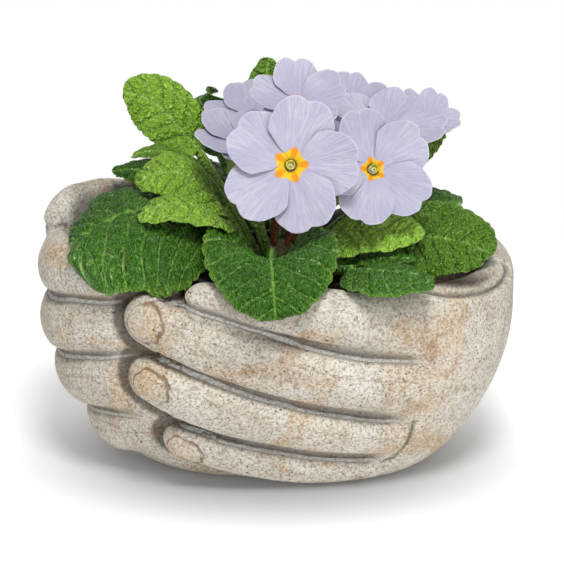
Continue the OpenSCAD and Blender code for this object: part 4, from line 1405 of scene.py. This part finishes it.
def crown_object(name):
    level, girth = CROWN.T[:, :, None]
    t = np.arange(CROWN_SIDES) * 2 * np.pi / CROWN_SIDES
    leaf_bases = np.abs(np.sin(4.5 * t + 0.25 * level)) ** 0.5
    rings = circle_rings(girth * (0.9 + 0.1 * leaf_bases), SOIL_Z + level[:, 0])
    return ring_stack(name, rings, (0, 0, SOIL_Z), (0, 0, SOIL_Z + CROWN_H - 0.1))


flesh = material("crown", Specular_IOR_Level=0.4, Roughness=0.6)
fleck = flesh.noise(flesh.where(), 260.0, 4.0, 0.7)
flesh.finish(flesh.mix(flesh.band(fleck, 0.35, 0.65), tone(92, 60, 36), tone(120, 128, 66)), fleck, 0.5, 0.0006)
finish_piece(crown_object("crown_scaled"), "plant", flesh.material, "crown", "crown")
print("crown ready")

# %% Soil crumbs by Geometry Nodes
CRUMB = 0.001  # the radius of a crumb of size 1, in metres


def crumb_tree():
    g = group("soil crumbs", dict(Ground="Geometry", Crumbs=90000.0, Smallest=0.4, Largest=1.5, Seed=5,
                                  Finish="Material"), dict(Soil="Geometry"), "GeometryNodeTree")
    seed = g.take["Seed"]
    points = g.add("GeometryNodeDistributePointsOnFaces",
                   Mesh=g.take["Ground"], Density=g.take["Crumbs"], Seed=seed)
    ball = g.add("GeometryNodeMeshIcoSphere", Radius=CRUMB, Subdivisions=1)
    sizes = g.add("FunctionNodeRandomValue", dict(data_type="FLOAT"), i2=g.take["Smallest"],
                  i3=g.take["Largest"], Seed=seed)
    turns = g.add("FunctionNodeRandomValue", dict(data_type="FLOAT_VECTOR"), i1=(6.28, 6.28, 6.28), Seed=seed)
    return scatter(g, points.outputs[0], ball.outputs[0], turns.outputs[0], sizes.outputs[1])


earth = material("potting soil", Specular_IOR_Level=0.2, Roughness=0.95)
where = earth.where()
lump = earth.noise(where, 240.0, 4.0, 0.7)
body = earth.mix(earth.band(lump, 0.35, 0.7), tone(30, 21, 15), tone(72, 52, 38))
here = earth.band(earth.noise(where, 90.0, 1.0), 0.55, 0.6)
white = earth.times(earth.band(earth.cells(where, 150.0), 0.16, 0.1), here)
earth.finish(earth.mix(white, body, tone(200, 196, 184)), lump, 0.8, 0.0015)

GROUND_SIDES = 64
inner, outer = 13.5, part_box("potting_soil")[1].x / MM - 2.2
rings = circle_rings(np.tile([[inner], [outer]], GROUND_SIDES), np.full(2, SOIL_Z + 0.1))
index = np.arange(GROUND_SIDES)
after = np.roll(index, -1)
quads = np.stack([index, after, GROUND_SIDES + after, GROUND_SIDES + index], 1)
ground = new_object("ground", rings.reshape(-1, 3), quads)
crumbs = grown(ground, crumb_tree(), "soil_crumbs",
               Crumbs=300000.0, Smallest=0.35, Largest=1.25, Seed=5, Finish=earth.material)
finish_piece(crumbs, "plant", earth.material, "soil")
wear(frame["nodes"]["potting_soil"], earth.material)
print("crumbs:", len(crumbs.data.polygons) // 20)

# %% Grow pot finish
plastic = material("pot plastic", Specular_IOR_Level=0.5)
where = plastic.where()
dust = plastic.band(plastic.noise(where, 60.0, 4.0, 0.7), 0.45, 0.75)
plastic.finish(plastic.over(tone(34, 33, 32), dust, 0.5, tone(96, 82, 66)), plastic.noise(where, 1500.0, 2.0),
               0.25, 0.0003, plastic.band(dust, 0.0, 1.0, 0.42, 0.8))
wear(frame["nodes"]["grow_pot"], plastic.material)
print("pot finish ready")
